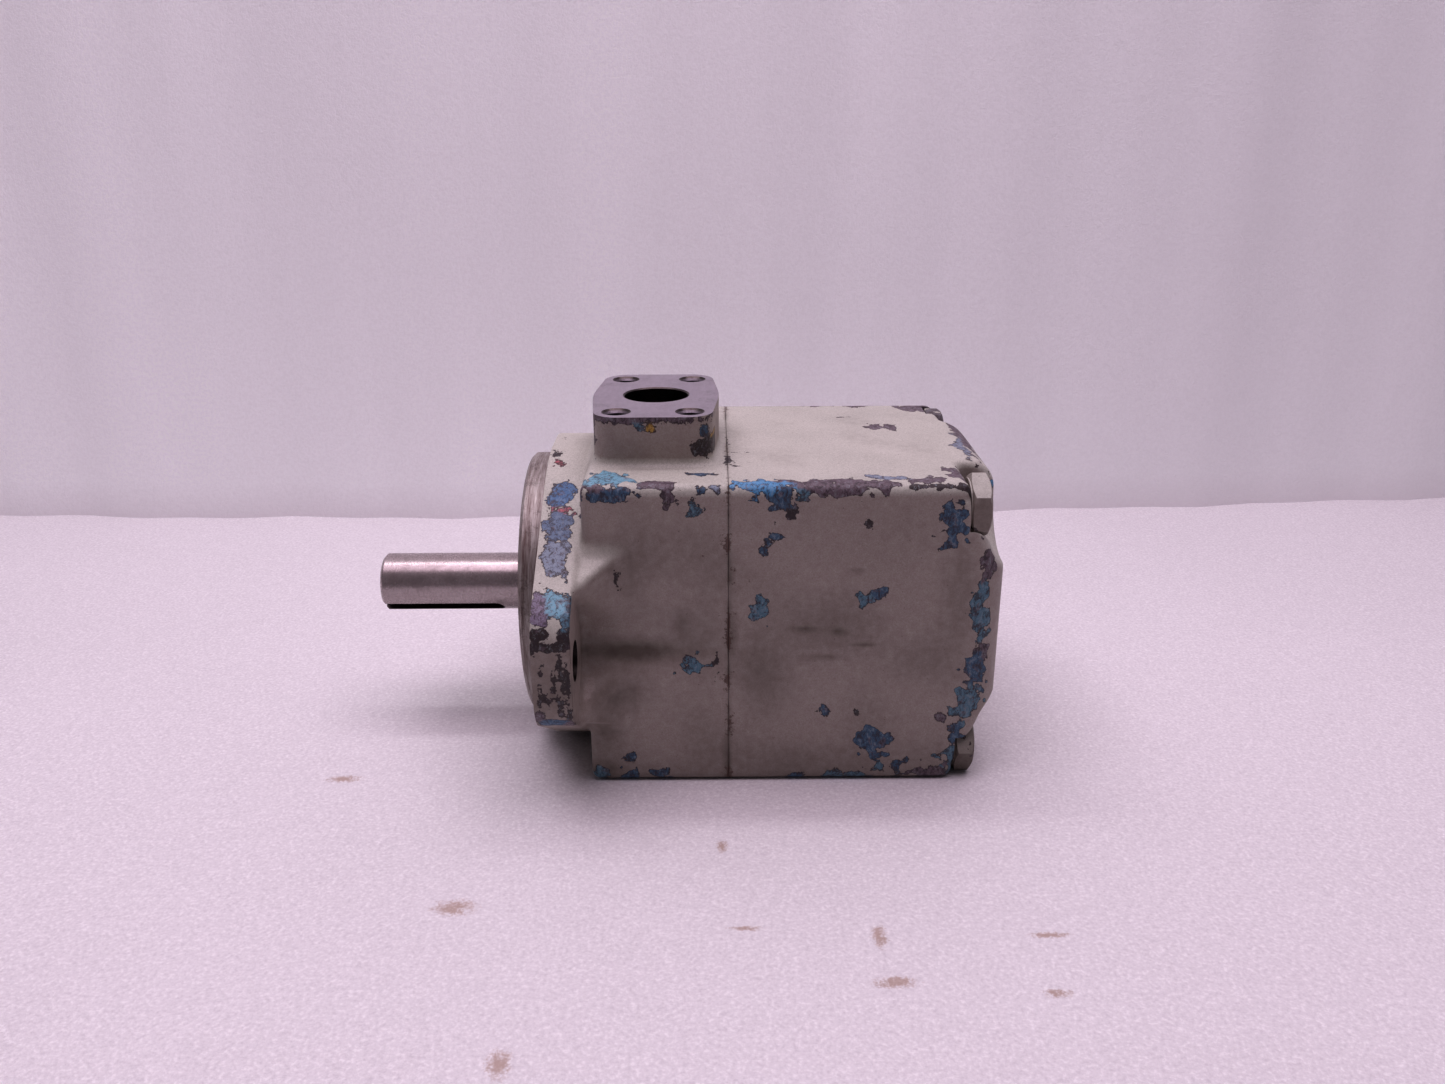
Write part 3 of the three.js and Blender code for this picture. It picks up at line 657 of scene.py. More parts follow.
def add_marks(piece, field):
    """Writes vertex attributes: how deep the paint is chipped and what colour shows there; the
    soil, which also holds darkening in hollows and towards the bottom and the painted shade along
    the bolt's scallop; the painted shade on steep, downward and low faces; and rust along the
    joint."""
    mesh = piece.data
    points = vertex_places(mesh)
    x, y, z = points.T
    count = len(points)
    normals = np.empty(count * 3, np.float32)
    mesh.vertices.foreach_get("normal", normals)
    up = normals.reshape(-1, 3)[:, 2]
    depth, ink = lay_chips(points)
    # Painted shade: faces that do not look up, and sloped faces low on the body, are darkened where
    # light from above would not reach them.
    side_shade = np.clip(1.0 - up * np.where(z > 50, 6.0, 2.2), 0, 1)
    side_shade = np.maximum(side_shade, np.clip((4 - z) / 8, 0, 1) * (up < 0.9))
    # Darker in hollows, less on faces that look up.
    soil_and_shade = np.clip(-hollowness(field, points) * 0.3 - 0.03, 0, 0.25)
    soil_and_shade *= (1 - 0.8 * np.clip(up, 0, 1)) * (z < 54)
    # The near ear's rim is darker below its middle.
    soil_and_shade += 0.16 * on_near_rim(x, y, z) * np.clip((14 - z) / 6, 0, 1)
    soil_and_shade += np.clip(0.04 + 0.05 * ripple(points, 24, 60), 0, 1)
    seam = np.exp(-np.abs(x - SPLIT) / 1.4) * np.clip(0.45 + 0.6 * ripple(points, 14, 50), 0, 1)
    seam *= 1 - 0.4 * (z > 52)
    soil_and_shade += (0.42 + 0.2 * ripple(points, 9, 50)) * np.exp(-np.abs(x - SPLIT) / 0.4)
    # Darker towards the bottom edge.
    soil_and_shade += 0.25 * np.exp(-(z + HALF) / 6)
    for u, s, half_u, half_s, strength in SOIL_AND_SHADE_PATCHES:
        reach = ((x - u) / half_u) ** 2 + ((z - s) / half_s) ** 2
        soil_and_shade += strength * np.exp(-reach) * (y < -30) * (up < 0.7)
    for name, values in (("chip", depth), ("soil_and_shade", soil_and_shade), ("side_shade", side_shade), ("seam", seam)):
        mesh.attributes.new(name, "FLOAT", "POINT").data.foreach_set(
            "value", values.astype(np.float32))
    colours = np.concatenate([ink, np.ones((count, 1))], 1).astype(np.float32)
    mesh.attributes.new("ink", "FLOAT_COLOR", "POINT").data.foreach_set("color", colours.ravel())


# ================================================================ materials
class Shader:
    """A material built step by step; distances in its textures are millimetres."""

    def __init__(self, name):
        self.material = bpy.data.materials.new(name)
        self.material.use_nodes = True
        self.tree = self.material.node_tree
        self.out = self.tree.nodes["Principled BSDF"].inputs
        place = self.node("ShaderNodeTexCoord").outputs["Object"]
        self.place = self.scaled(place, (1000, 1000, 1000))

    def node(self, kind, **settings):
        made = self.tree.nodes.new(kind)
        for key, value in settings.items():
            setattr(made, key, value)
        return made

    def put(self, socket, value):
        if isinstance(value, bpy.types.NodeSocket):
            self.tree.links.new(value, socket)
        elif hasattr(value, "__len__") and len(value) == 3 and socket.type == "RGBA":
            socket.default_value = (*value, 1)
        else:
            socket.default_value = value

    def scaled(self, place, scale):
        made = self.node("ShaderNodeVectorMath", operation="MULTIPLY")
        self.put(made.inputs[0], place)
        self.put(made.inputs[1], scale)
        return made.outputs[0]

    def maths(self, operation, a, b=0.0, c=0.0, clamp=False):
        made = self.node("ShaderNodeMath", operation=operation, use_clamp=clamp)
        for socket, value in zip(made.inputs, (a, b, c)):
            self.put(socket, value)
        return made.outputs[0]

    def split(self, vector):
        made = self.node("ShaderNodeSeparateXYZ")
        self.put(made.inputs[0], vector)
        return made.outputs

    def noise(self, scale, detail=2.0, rough=0.5, place=None, twist=0.0):
        made = self.node("ShaderNodeTexNoise")
        self.put(made.inputs["Vector"], place or self.place)
        for key, value in (("Scale", scale), ("Detail", detail), ("Roughness", rough),
                           ("Distortion", twist)):
            self.put(made.inputs[key], value)
        return made.outputs["Fac"]

    def band(self, value, low, high, start=0.0, end=1.0):
        made = self.node("ShaderNodeMapRange")
        for socket, item in zip(made.inputs, (value, low, high, start, end)):
            self.put(socket, item)
        return made.outputs[0]

    def mix(self, share, first, second):
        made = self.node("ShaderNodeMix", data_type="RGBA")
        self.put(made.inputs[0], share)
        self.put(made.inputs[6], first)
        self.put(made.inputs[7], second)
        return made.outputs[2]

    def tinted(self, colour, *tints):
        """Lays tints over a colour: what drives each, from and to, its share, and the tint."""
        for value, low, high, share, tint in tints:
            colour = self.mix(self.band(value, low, high, 0, share), colour, tint)
        return colour

    def attribute(self, name, output="Fac"):
        return self.node("ShaderNodeAttribute", attribute_name=name).outputs[output]

    def total(self, *terms):
        """The sum of (weight, value) terms."""
        sum_so_far = 0.0
        for weight, value in terms:
            sum_so_far = self.maths("MULTIPLY_ADD", value, weight, sum_so_far)
        return sum_so_far

    def length(self, u, v):
        return self.maths("SQRT", self.total((1, self.maths("MULTIPLY", u, u)),
                                             (1, self.maths("MULTIPLY", v, v))))

    def lathe_place(self, along, across):
        """A place that changes fast along and across the shaft's axis, and not round it."""
        x, y, z = self.split(self.place)
        radius = self.length(y, z)
        joined = self.node("ShaderNodeCombineXYZ")
        self.put(joined.inputs[0], self.maths("MULTIPLY", x, along))
        self.put(joined.inputs[1], self.maths("MULTIPLY", radius, across))
        self.put(joined.inputs[2], self.maths("MULTIPLY", self.maths("ARCTAN2", y, z), 3.5))
        return joined.outputs[0]

    def bump(self, height, strength=1.0):
        """Raises the surface by a height in millimetres."""
        made = self.node("ShaderNodeBump")
        self.put(made.inputs["Strength"], strength)
        self.put(made.inputs["Distance"], 0.001)
        self.put(made.inputs["Height"], height)
        self.put(self.out["Normal"], made.outputs[0])


# Linear colours of the last coat of paint and of what lies on it: brown for the painted shade on
# steep faces, dark for soil and painted shade, and rust.
COAT, FADED_COAT = (0.545, 0.545, 0.48), (0.46, 0.465, 0.405)
SHADE_AND_GRIME, DIRT_AND_SHADE, RUST = (0.215, 0.135, 0.125), (0.085, 0.068, 0.052), (0.085, 0.042, 0.030)


def paint(name, chipped=True, worn=0.0, grime=0.12):
    """Old beige grey machine paint: brushed on, chipped to older coats, soiled, and with painted
    shade laid brown over its steep and downward faces.
    """
    s = Shader(name)
    broad, mid = s.noise(0.035, 3), s.noise(0.3, 4, 0.6)
    fine, grain = s.noise(1.4, 4, 0.65), s.noise(4.5, 2)
    colour = s.mix(s.band(broad, 0.35, 0.68), COAT, FADED_COAT)
    colour = s.tinted(colour, (fine, 0.48, 0.66, 0.6, (0.66, 0.64, 0.585)),
                      (fine, 0.46, 0.30, 0.6, (0.34, 0.325, 0.285)),
                      (grain, 0.5, 0.3, 0.55, (0.32, 0.30, 0.265)),
                      (grain, 0.5, 0.7, 0.45, (0.68, 0.66, 0.61)))
    if chipped:
        side_shade = s.attribute("side_shade")
    else:
        # On the screws, painted shade darkens the faces that do not look up.
        up = s.split(s.node("ShaderNodeNewGeometry").outputs["Normal"])[2]
        side_shade = s.band(up, 0.0, 0.75, 1.0, 0.0)
    soil_and_shade = s.attribute("soil_and_shade") if chipped else s.total((grime, 1.0), (0.25, side_shade))
    # Painted shade: a brown veil over the steep faces.
    shade_veil = s.total((0.40, side_shade), (0.30, s.maths("MULTIPLY", side_shade, mid)))
    colour = s.mix(shade_veil, colour, SHADE_AND_GRIME)
    # The soil attribute, dirt and painted shade alike, darkens the colour.
    dirt_and_shade = s.maths("MULTIPLY", s.total((1.5, soil_and_shade), (0.5, mid), (0.35, fine), (-0.46, 1.0)),
                   s.band(soil_and_shade, 0.02, 0.12), clamp=True)
    colour = s.mix(s.maths("MULTIPLY", dirt_and_shade, 0.85), colour, DIRT_AND_SHADE)
    if chipped:
        rust = s.total((0.42, s.attribute("seam")), (1.0, s.noise(0.55, 4, 0.75)))
        colour = s.tinted(colour, (rust, 0.67, 0.75, 0.8, RUST))
    specks = s.noise(0.9, 3, 0.7)
    colour = s.tinted(colour, (specks, 0.735, 0.76, 0.7, (0.14, 0.10, 0.075)))
    if chipped:
        depth = s.attribute("chip")
    else:
        depth = s.total((9.0, s.noise(0.14, 3, 0.6)), (worn - 6.3, 1.0))
    depth = s.total((1, depth), (3.4, s.noise(0.28, 3, 0.6, twist=0.4)), (1.6, s.noise(1.1, 3)),
                    (-2.5, 1.0))
    gone = s.band(depth, -0.02, 0.10)
    under = s.attribute("ink", "Color") if chipped else (0.12, 0.10, 0.11)
    scrape = s.noise(0.62, 5, 0.8, s.scaled(s.place, (1.0, 1.0, 0.55)), 0.5)
    # A dark line just inside each chip's edge: partly a darker old coat, partly the painted shadow
    # of the paint's raised step.
    edge = s.total((1, depth), (1.6, fine), (-0.8, 1.0))
    under = s.tinted(under, (s.noise(0.3, 5, 0.7, twist=0.5), 0.55, 0.60, 0.7, (0.13, 0.095, 0.11)),
                     (s.noise(0.9, 4, 0.7), 0.58, 0.72, 0.4, (0.30, 0.38, 0.43)),
                     (scrape, 0.51, 0.57, 0.8, (0.040, 0.032, 0.038)),
                     (scrape, 0.46, 0.38, 0.42, (0.32, 0.37, 0.40)),
                     (edge, 0.6, 0.15, 1.0, (0.055, 0.042, 0.042)))
    colour = s.mix(gone, colour, under)
    s.put(s.out["Base Color"], colour)
    rough = s.total((0.30, 1.0), (0.22, mid), (0.12, grain), (0.22, dirt_and_shade), (0.06, gone))
    s.put(s.out["Roughness"], rough)
    s.put(s.out["Specular IOR Level"], 0.42)
    s.bump(s.total((0.16, s.noise(0.22, 2)), (0.09, mid), (0.035, fine), (0.012, grain),
                   (-0.14, gone), (0.03, dirt_and_shade)), 0.85)
    return s.material


def metal(name, colour, dull, rough, streaks=(0.6, 0.6), stain=0.25, tool_marks=0.004,
          metallic=1.0, softness=0.26, oily=(0.045, 0.032, 0.028)):
    """Machined metal: turned or ground marks, dulled patches, and stains left by oil."""
    s = Shader(name)
    lay = s.lathe_place(*streaks)
    lines, wide = s.noise(2.2, 3, 0.7, lay), s.noise(0.35, 3, 0.6, lay)
    cloud, fine = s.noise(0.09, 4, 0.65), s.noise(1.3, 4, 0.7)
    streak = s.band(s.total((0.55, wide), (0.45, lines)), 0.5 - softness, 0.5 + softness)
    base = s.mix(streak, colour, dull)
    spots = s.band(s.total((0.62, cloud), (0.38, fine)), 0.53, 0.66, 0, stain * 2)
    base = s.mix(spots, base, oily)
    s.put(s.out["Base Color"], base)
    s.put(s.out["Metallic"], metallic)
    s.put(s.out["Roughness"], s.total((rough, 1.0), (0.16, lines), (0.20, spots), (-0.08, 1.0)))
    s.bump(s.total((tool_marks, lines), (tool_marks * 2, wide),
                   (min(tool_marks, 0.004), fine)), 0.9)
    return s.material


def rubber(name):
    s = Shader(name)
    fine = s.noise(1.6, 3)
    s.put(s.out["Base Color"], s.mix(s.noise(0.3, 3), (0.012, 0.012, 0.013), (0.035, 0.033, 0.032)))
    s.put(s.out["Roughness"], s.total((0.45, 1.0), (0.25, fine)))
    s.bump(s.total((0.02, fine), (0.01, s.noise(6.0))))
    return s.material


# ================================================================ finishing a piece
def set_smooth(mesh, angle=32):
    mesh.polygons.foreach_set("use_smooth", np.ones(len(mesh.polygons), bool))
    mesh.set_sharp_from_angle(angle=math.radians(angle))


def finish(piece, name, node, body, *looks, slot=None, angle=32):
    """Moves a piece into the frame, in place of a CAD node, with its materials and its body."""
    piece.name = piece.data.name = name
    piece.data.transform(Matrix.Translation((MOUNTING_FACE, 0, 0)) @ Matrix.Scale(MM, 4))
    piece.data.materials.clear()
    for look in looks:
        piece.data.materials.append(MATERIALS[look])
    set_smooth(piece.data, angle)
    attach(piece, body)
    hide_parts(node)


def finish_casting(piece, name, node, field):
    """Sorts a housing's faces: painted skin, ground faces, turned faces, bores and threads."""
    set_smooth(piece.data)
    add_marks(piece, field)
    mesh = piece.data
    count = len(mesh.polygons)
    centres = np.empty(count * 3, np.float32)
    mesh.polygons.foreach_get("center", centres)
    x, y, z = centres.reshape(-1, 3).astype(float).T
    radius = np.hypot(y, z)
    machined = np.abs(field(x, y, z)) > 0.25
    skin, ground, turned_face, bore, thread = range(5)
    kind = np.where(machined, bore, skin)
    flat = machined & ((np.abs(z - PORT_FACE) < 0.05) | (np.abs(y - PORT_FACE) < 0.05)
                       | (np.abs(x - SPLIT) < 0.2))
    kind[flat] = ground
    for high, middle, across in ((z, PORT_X, y), (y, REAR_PORT_X, z)):
        in_hole = (high > HALF) & (high < PORT_FACE - 0.8) \
            & (np.hypot(x - middle, across) > PORT_RADIUS + 4)
        kind[machined & in_hole] = thread
    kind[machined & (x > POCKET_FLOOR - 0.5) & (radius > SCREW_AT - 6)] = skin
    kind[machined & ((np.abs(x) < 0.05) | ((x < 0.05) & (radius > 28.5)))] = turned_face
    finish(piece, name, node, HOUSING, "housing_paint", "ground_iron", "turned_iron",
           "bore_iron", "thread_iron")
    piece.data.polygons.foreach_set("material_index", kind.astype(np.int32))


# ================================================================ materials in use
# Bright colour, dulled colour, roughness, how fast the marks change along and across, stain;
# then height of the tool marks in mm, how metallic, and how soft the streaks are.
METALS = {
    "ground_iron": ((0.52, 0.48, 0.53), (0.39, 0.355, 0.395), 0.46, (0.2, 0.2), 0.12),
    "turned_iron": ((0.52, 0.50, 0.47), (0.15, 0.105, 0.095), 0.50, (1.0, 0.7), 0.35,
                    0.02, 0.45, 0.14),
    "thread_iron": ((0.23, 0.21, 0.235), (0.10, 0.085, 0.095), 0.5, (0.8, 0.8), 0.3),
    # Dark oily iron of the bores; also laid into the shaft's key slot as painted shade.
    "bore_iron": ((0.12, 0.105, 0.10), (0.045, 0.038, 0.036), 0.30, (1.5, 1.0), 0.3),
    "shaft_steel": ((0.54, 0.49, 0.485), (0.33, 0.275, 0.27), 0.27, (0.3, 0.3), 0.2,
                    0.0015, 0.66, 0.36),
    "ring_steel": ((0.10, 0.095, 0.095), (0.055, 0.05, 0.048), 0.38, (1.0, 1.0), 0.2),
    "bearing_steel": ((0.60, 0.59, 0.59), (0.48, 0.47, 0.46), 0.12, (2.0, 2.0), 0.08, 0.001),
    "cage_brass": ((0.55, 0.38, 0.16), (0.40, 0.27, 0.12), 0.30, (1.2, 1.2), 0.15),
    "plate_bronze": ((0.50, 0.34, 0.17), (0.34, 0.22, 0.11), 0.28, (0.8, 1.4), 0.2),
    "rotor_steel": ((0.40, 0.39, 0.39), (0.27, 0.26, 0.26), 0.24, (0.8, 2.0), 0.16),
    "seal_copper": ((0.60, 0.30, 0.18), (0.38, 0.20, 0.13), 0.30, (1.0, 1.5), 0.2),
}
MATERIALS = {name: metal(name, *values) for name, values in METALS.items()}
MATERIALS["seal_rubber"] = rubber("seal_rubber")
MATERIALS["housing_paint"] = paint("housing_paint")
for name, worn, grime in (("screw_paint", 0.0, 0.12), ("worn_screw_paint", 2.6, 0.12),
                          ("grimy_screw_paint", 0.6, 0.36)):
    MATERIALS[name] = paint(name, chipped=False, worn=worn, grime=grime)

# ================================================================ the motor
HOUSING, ROTATING, BALL_TRAIN = "housing", "shaft_and_rotor", "ball_train"      # CAD bodies
finish_casting(front_housing(), "front_casting", "front_housing", front_casting)
finish_casting(rear_housing(), "rear_casting", "rear_housing", rear_casting)

# ---- the four long screws: the first has a corner at the top, the others a flat
SCREW_PAINTS = ("screw_paint", "worn_screw_paint", "grimy_screw_paint", "grimy_screw_paint")
HEAD_FROM, HEAD_TO, HEAD_ACROSS = POCKET_FLOOR + GAP, POCKET_FLOOR + GAP + 7.3, 20.6
SCREW_TIP, THREAD_TO, SHANK = 39.0, 84.0, 7.0
for number, (side_y, side_z) in enumerate(CORNERS, 1):
    middle = (side_y * SCREW_AT, side_z * SCREW_AT)
    screw = hex_head(HEAD_ACROSS, HEAD_FROM, HEAD_TO, middle, 90 if number == 1 else 0)
    shank = [(SCREW_TIP, 0), (SCREW_TIP, 5.6), *threaded(SCREW_TIP + 1, THREAD_TO, SHANK),
             (THREAD_TO + 1, SHANK - 0.5), (THREAD_TO + 2, SHANK), (HEAD_FROM - 1, SHANK),
             (HEAD_FROM + 1, SHANK), (HEAD_FROM + 1, 0)]
    boolean(screw, turned(shank, 32, 0, (0, *middle)), "UNION")
    finish(screw, f"long_screw_{number}", f"cap_screw_{number}", HOUSING,
           SCREW_PAINTS[number - 1], slot="screw_paint", angle=25)

# ---- shaft: keyed end, bearing seat, shoulder, splines and rear journal
SPLINE_FROM, SPLINE_TO, SPLINES = 58.0, 90.0, 12
BEARING_JOURNAL, SPLINE_TIP, REAR_JOURNAL, SPLINE_ROOT = 12.35, 12.2, 10.0, 10.6
shaft_profile = [(-SHAFT_REACH, 0), (-SHAFT_REACH, SHAFT_RADIUS - 1.1),
                 (1.1 - SHAFT_REACH, SHAFT_RADIUS), (-13.5, SHAFT_RADIUS),
                 (-12.5, BEARING_JOURNAL), (-8.4, BEARING_JOURNAL), (-8.4, 11.4), (-6.5, 11.4),
                 (-6.5, BEARING_JOURNAL), (9.3, BEARING_JOURNAL), (9.3, 14), (24.5, 14),
                 (27, SPLINE_TIP), (SPLINE_FROM, SPLINE_TIP), (SPLINE_FROM, REAR_JOURNAL),
                 (154, REAR_JOURNAL), (155, 9), (155, 0)]
shaft = turned(shaft_profile, 120, fillet=0.35)
centre_drill = [(-SHAFT_REACH - 1, 0), (-SHAFT_REACH - 1, 5.2), (3.6 - SHAFT_REACH, 1.5),
                (8 - SHAFT_REACH, 1.5), (9 - SHAFT_REACH, 0)]
boolean(shaft, turned(centre_drill, 48))
teeth = []
for tooth in range(SPLINES):
    for radius, offset in ((SPLINE_ROOT, -7.5), (SPLINE_TIP, -5), (SPLINE_TIP, 0),
                           (SPLINE_TIP, 5), (SPLINE_ROOT, 7.5), (SPLINE_ROOT, 11)):
        teeth.append(polar(radius, 360 / SPLINES * tooth + offset))
boolean(shaft, extruded(teeth, SPLINE_FROM - 1, SPLINE_TO, 0.3), "UNION", "EXACT")
# The key slot opens at the free end and has a round inner end. It points down and to the near
# side, and its walls are parallel.
KEY_HALF, KEY_END, KEY_FLOOR = 3.175, -22.0, SHAFT_RADIUS - 3.2
slot_outline = [(-SHAFT_REACH - 2, -KEY_HALF), (KEY_END - KEY_HALF, -KEY_HALF)]
slot_outline += arc(KEY_HALF, -90, 90, 16, (KEY_END - KEY_HALF, 0))[1:-1]
slot_outline += [(KEY_END - KEY_HALF, KEY_HALF), (-SHAFT_REACH - 2, KEY_HALF)]
slot = extruded(slot_outline, -SHAFT_RADIUS - 2, -KEY_FLOOR, 0, 2)
slot.data.transform(about_shaft(-42))
boolean(shaft, slot, solver="EXACT")
# The key slot's faces take the dark bore iron as painted shade; the slot is cut in the shaft's own
# steel.
shaded_slot_faces = [1 - SHAFT_REACH < face.center.x < KEY_END + 1
           and math.hypot(face.center.y, face.center.z) < SHAFT_RADIUS - 0.5
           for face in shaft.data.polygons]
finish(shaft, "keyed_shaft", "shaft", ROTATING, "shaft_steel", "bore_iron", angle=28)
shaft.data.polygons.foreach_set("material_index", np.array(shaded_slot_faces, np.int32))


def snap_ring(inner, outer, low, high, lug_radius):
    """A retaining ring whose gap, between two drilled lugs, is at the bottom."""
    outline = arc(outer, -72, 252, 90) + arc(inner, 252, -72, 90)
    ring = extruded(outline, low, high, 0.12)
    for angle in (-72, 252):
        place = polar(lug_radius, angle)
        boolean(ring, bar(1.9, low, high, (0, *place), segments=32), "UNION", "EXACT")
        boolean(ring, bar(0.8, low - 1, high + 1, (0, *place), segments=24), solver="EXACT")
    return ring


finish(snap_ring(23.4, 27.2, -8.2, -6.6, 22.8), "bearing_snap_ring", "housing_snap_ring", HOUSING,
       "ring_steel")
finish(snap_ring(11.7, 14.4, -8.1, -6.8, 14.6), "shaft_retaining_ring", "shaft_snap_ring",
       ROTATING, "ring_steel")

# ---- ball bearing
BEARING_FROM, BEARING_TO, PITCH, BALL = -6.0, 9.0, 19.3, 3.9
BEARING_MIDDLE, BALLS = (BEARING_FROM + BEARING_TO) / 2, 9


def raceway(land, side):
    """Profile points of the ball track, cut into a land on the side away from the balls."""
    reach = BALL + 0.15
    half = math.sqrt(reach ** 2 - (land - PITCH) ** 2)
    steps = np.linspace(-half, half, 17)
    return [(BEARING_MIDDLE + s, PITCH + side * math.sqrt(reach ** 2 - s * s)) for s in steps]


outer_race = [(BEARING_FROM, 22.3), *raceway(22.3, 1), (BEARING_TO, 22.3), (BEARING_TO, 26),
              (BEARING_FROM, 26)]
inner_race = [(BEARING_FROM, 12.65), (BEARING_TO, 12.65), (BEARING_TO, 16.3),
              *raceway(16.3, -1)[::-1], (BEARING_FROM, 16.3)]
finish(turned(outer_race, 120, fillet=0.5), "outer_race", "bearing_outer_race", HOUSING,
       "bearing_steel")
finish(turned(inner_race, 120, fillet=0.5), "inner_race", "bearing_inner_race", ROTATING,
       "bearing_steel")
CAGE_HALF, CAGE_INNER, CAGE_OUTER = 5.3, 18.3, 20.3
cage = turned([(BEARING_MIDDLE - CAGE_HALF, CAGE_INNER), (BEARING_MIDDLE - CAGE_HALF, CAGE_OUTER),
               (BEARING_MIDDLE + CAGE_HALF, CAGE_OUTER), (BEARING_MIDDLE + CAGE_HALF, CAGE_INNER)],
              108, fillet=0.3)
for index in range(BALLS):
    pocket = bar(BALL + 0.35, PITCH - 5, PITCH + 5, (BEARING_MIDDLE, 0, 0), 2, 40)
    pocket.data.transform(about_shaft(360 * index / BALLS))
    boolean(cage, pocket)
finish(cage, "ball_cage", "bearing_cage", BALL_TRAIN, "cage_brass")
ball_shape = bmesh.new()
bmesh.ops.create_icosphere(ball_shape, subdivisions=4, radius=BALL)
ball_mesh = bpy.data.meshes.new("ball")
ball_shape.to_mesh(ball_mesh)
ball_shape.free()
for index in range(BALLS):
    ball = linked("ball", ball_mesh.copy())
    ball.data.transform(about_shaft(360 * index / BALLS)
                        @ Matrix.Translation((BEARING_MIDDLE, 0, PITCH)))
    finish(ball, f"ball_{index + 1}", f"bearing_ball_{index + 1}", BALL_TRAIN, "bearing_steel",
           angle=60)

# ---- shaft seal and the joint's O-ring
case = [(11, 21), (20, 21), (20, 16.2), (18.8, 16.2), (18.8, 19.7), (11, 19.7)]
finish(turned(case, 120, fillet=0.5), "seal_shell", "seal_case", HOUSING, "ring_steel")
lip = [(18.4, 19.3), (18.4, 15.2), (14, 14.35), (11.8, 15.6), (13.6, 16), (14.2, 17.2),
       (16.5, 19.3)]
finish(turned(lip, 120, fillet=0.4), "lip_seal", "seal_lip", HOUSING, "seal_rubber")


def coil_spring(radius, x, section, turns, wire):
    """A garter spring: a fine wire wound round a ring about the shaft."""
    steps, sides = turns * 8, 6
    t = np.linspace(0, 2 * math.pi, steps, endpoint=False)
    wound = turns * t
    out = np.stack([np.zeros(steps), np.cos(t), np.sin(t)], 1)
    along = np.array([1.0, 0, 0])
    centre = out * (radius + section * np.cos(wound))[:, None] \
        + along * (x + section * np.sin(wound))[:, None]
    ahead = np.roll(centre, -1, 0) - np.roll(centre, 1, 0)
    ahead /= np.linalg.norm(ahead, axis=1)[:, None]
    first = np.cos(wound)[:, None] * out + np.sin(wound)[:, None] * along
    second = np.cross(ahead, first)
    rings = [centre + wire * (math.cos(a) * first + math.sin(a) * second)
             for a in np.linspace(0, 2 * math.pi, sides, endpoint=False)]
    points = np.stack(rings, 1).reshape(-1, 3)
    faces = [[i * sides + k, i * sides + (k + 1) % sides,
              (i + 1) % steps * sides + (k + 1) % sides, (i + 1) % steps * sides + k]
             for i in range(steps) for k in range(sides)]
    return new_object(points, faces)


finish(coil_spring(17.2, 12.9, 0.5, 120, 0.19), "garter_spring", "seal_garter_spring",
       HOUSING, "bearing_steel", slot="ring_steel", angle=60)
CORD, CORD_RING = 1.15, 48.5     # radii of the O-ring's cord and of its middle line
o_ring = [(SPLIT - 1.4 + CORD * math.cos(a), CORD_RING + CORD * math.sin(a))
          for a in np.radians(np.arange(0, 360, 18))]
finish(turned(o_ring, 144), "joint_o_ring", "housing_o_ring", HOUSING, "seal_rubber", angle=60)

# ---- cartridge: two port plates, cam ring, rotor and ten vanes
PLATE_FROM, RING_FROM, RING_TO, PLATE_TO, CARTRIDGE_RADIUS = 46.3, 60.3, 87.7, 104.0, 43.6
VANES, ROTOR_RADIUS, SLOT_HALF, SLOT_FLOOR, VANE_HALF = 10, 29.8, 1.5, 17.5, 1.2
SCREW_ANGLES, DOWEL_ANGLES = (0, 180), (90, 270)


def pin_cuts(piece, low, high):
    for radius, angles in ((2.35, SCREW_ANGLES), (2.85, DOWEL_ANGLES)):
        for angle in angles:
            boolean(piece, bar(radius, low - 1, high + 1, (0, *polar(PIN_CIRCLE, angle)),
                               segments=32))


def port_plate(low, high, window):
    """A bronze plate with two kidney shaped windows."""
    plate = turned([(low, 13.2), (high, 13.2), (high, CARTRIDGE_RADIUS), (low, CARTRIDGE_RADIUS)],
                   128, fillet=0.5)
    for middle in (window, window + 180):
        start, end = middle - 22, middle + 22
        kidney = (arc(33.5, start, end, 20) + arc(3.25, end, end + 180, 8, polar(30.25, end))[1:-1]
                  + arc(27, end, start, 20)
                  + arc(3.25, start + 180, start + 360, 8, polar(30.25, start))[1:-1])
        boolean(plate, extruded(kidney, low - 1, high + 1))
    pin_cuts(plate, low, high)
    return plate


finish(port_plate(PLATE_FROM, RING_FROM - GAP, 45), "front_plate", "front_port_plate", HOUSING,
       "plate_bronze")
rear_plate = port_plate(RING_TO + GAP, PLATE_TO, 135)
for angle in SCREW_ANGLES:
    boolean(rear_plate, bar(4.2, PLATE_TO - 4.6, PLATE_TO + 1, (0, *polar(PIN_CIRCLE, angle))))
finish(rear_plate, "rear_plate", "rear_port_plate", HOUSING, "plate_bronze")
cam = extruded(circle(CARTRIDGE_RADIUS, 128), RING_FROM, RING_TO, 0.4)
track = [polar(30.6 + 3.6 * math.sin(math.radians(a)) ** 2, a) for a in np.arange(0, 360, 2.5)]
boolean(cam, extruded(track, RING_FROM - 1, RING_TO + 1))
pin_cuts(cam, RING_FROM, RING_TO)
finish(cam, "cam_track_ring", "cam_ring", HOUSING, "bearing_steel")
rotor_outline = []
for index in range(VANES):
    here = 360 / VANES * (index + 0.5)
    lean = math.degrees(math.asin(SLOT_HALF / ROTOR_RADIUS))
    across = np.array(polar(SLOT_HALF, here + 90))
    slot_floor = np.array(polar(SLOT_FLOOR, here))
    rotor_outline += [tuple(slot_floor - across), tuple(slot_floor + across)]
    rotor_outline += arc(ROTOR_RADIUS, here + lean, here + 360 / VANES - lean, 12)
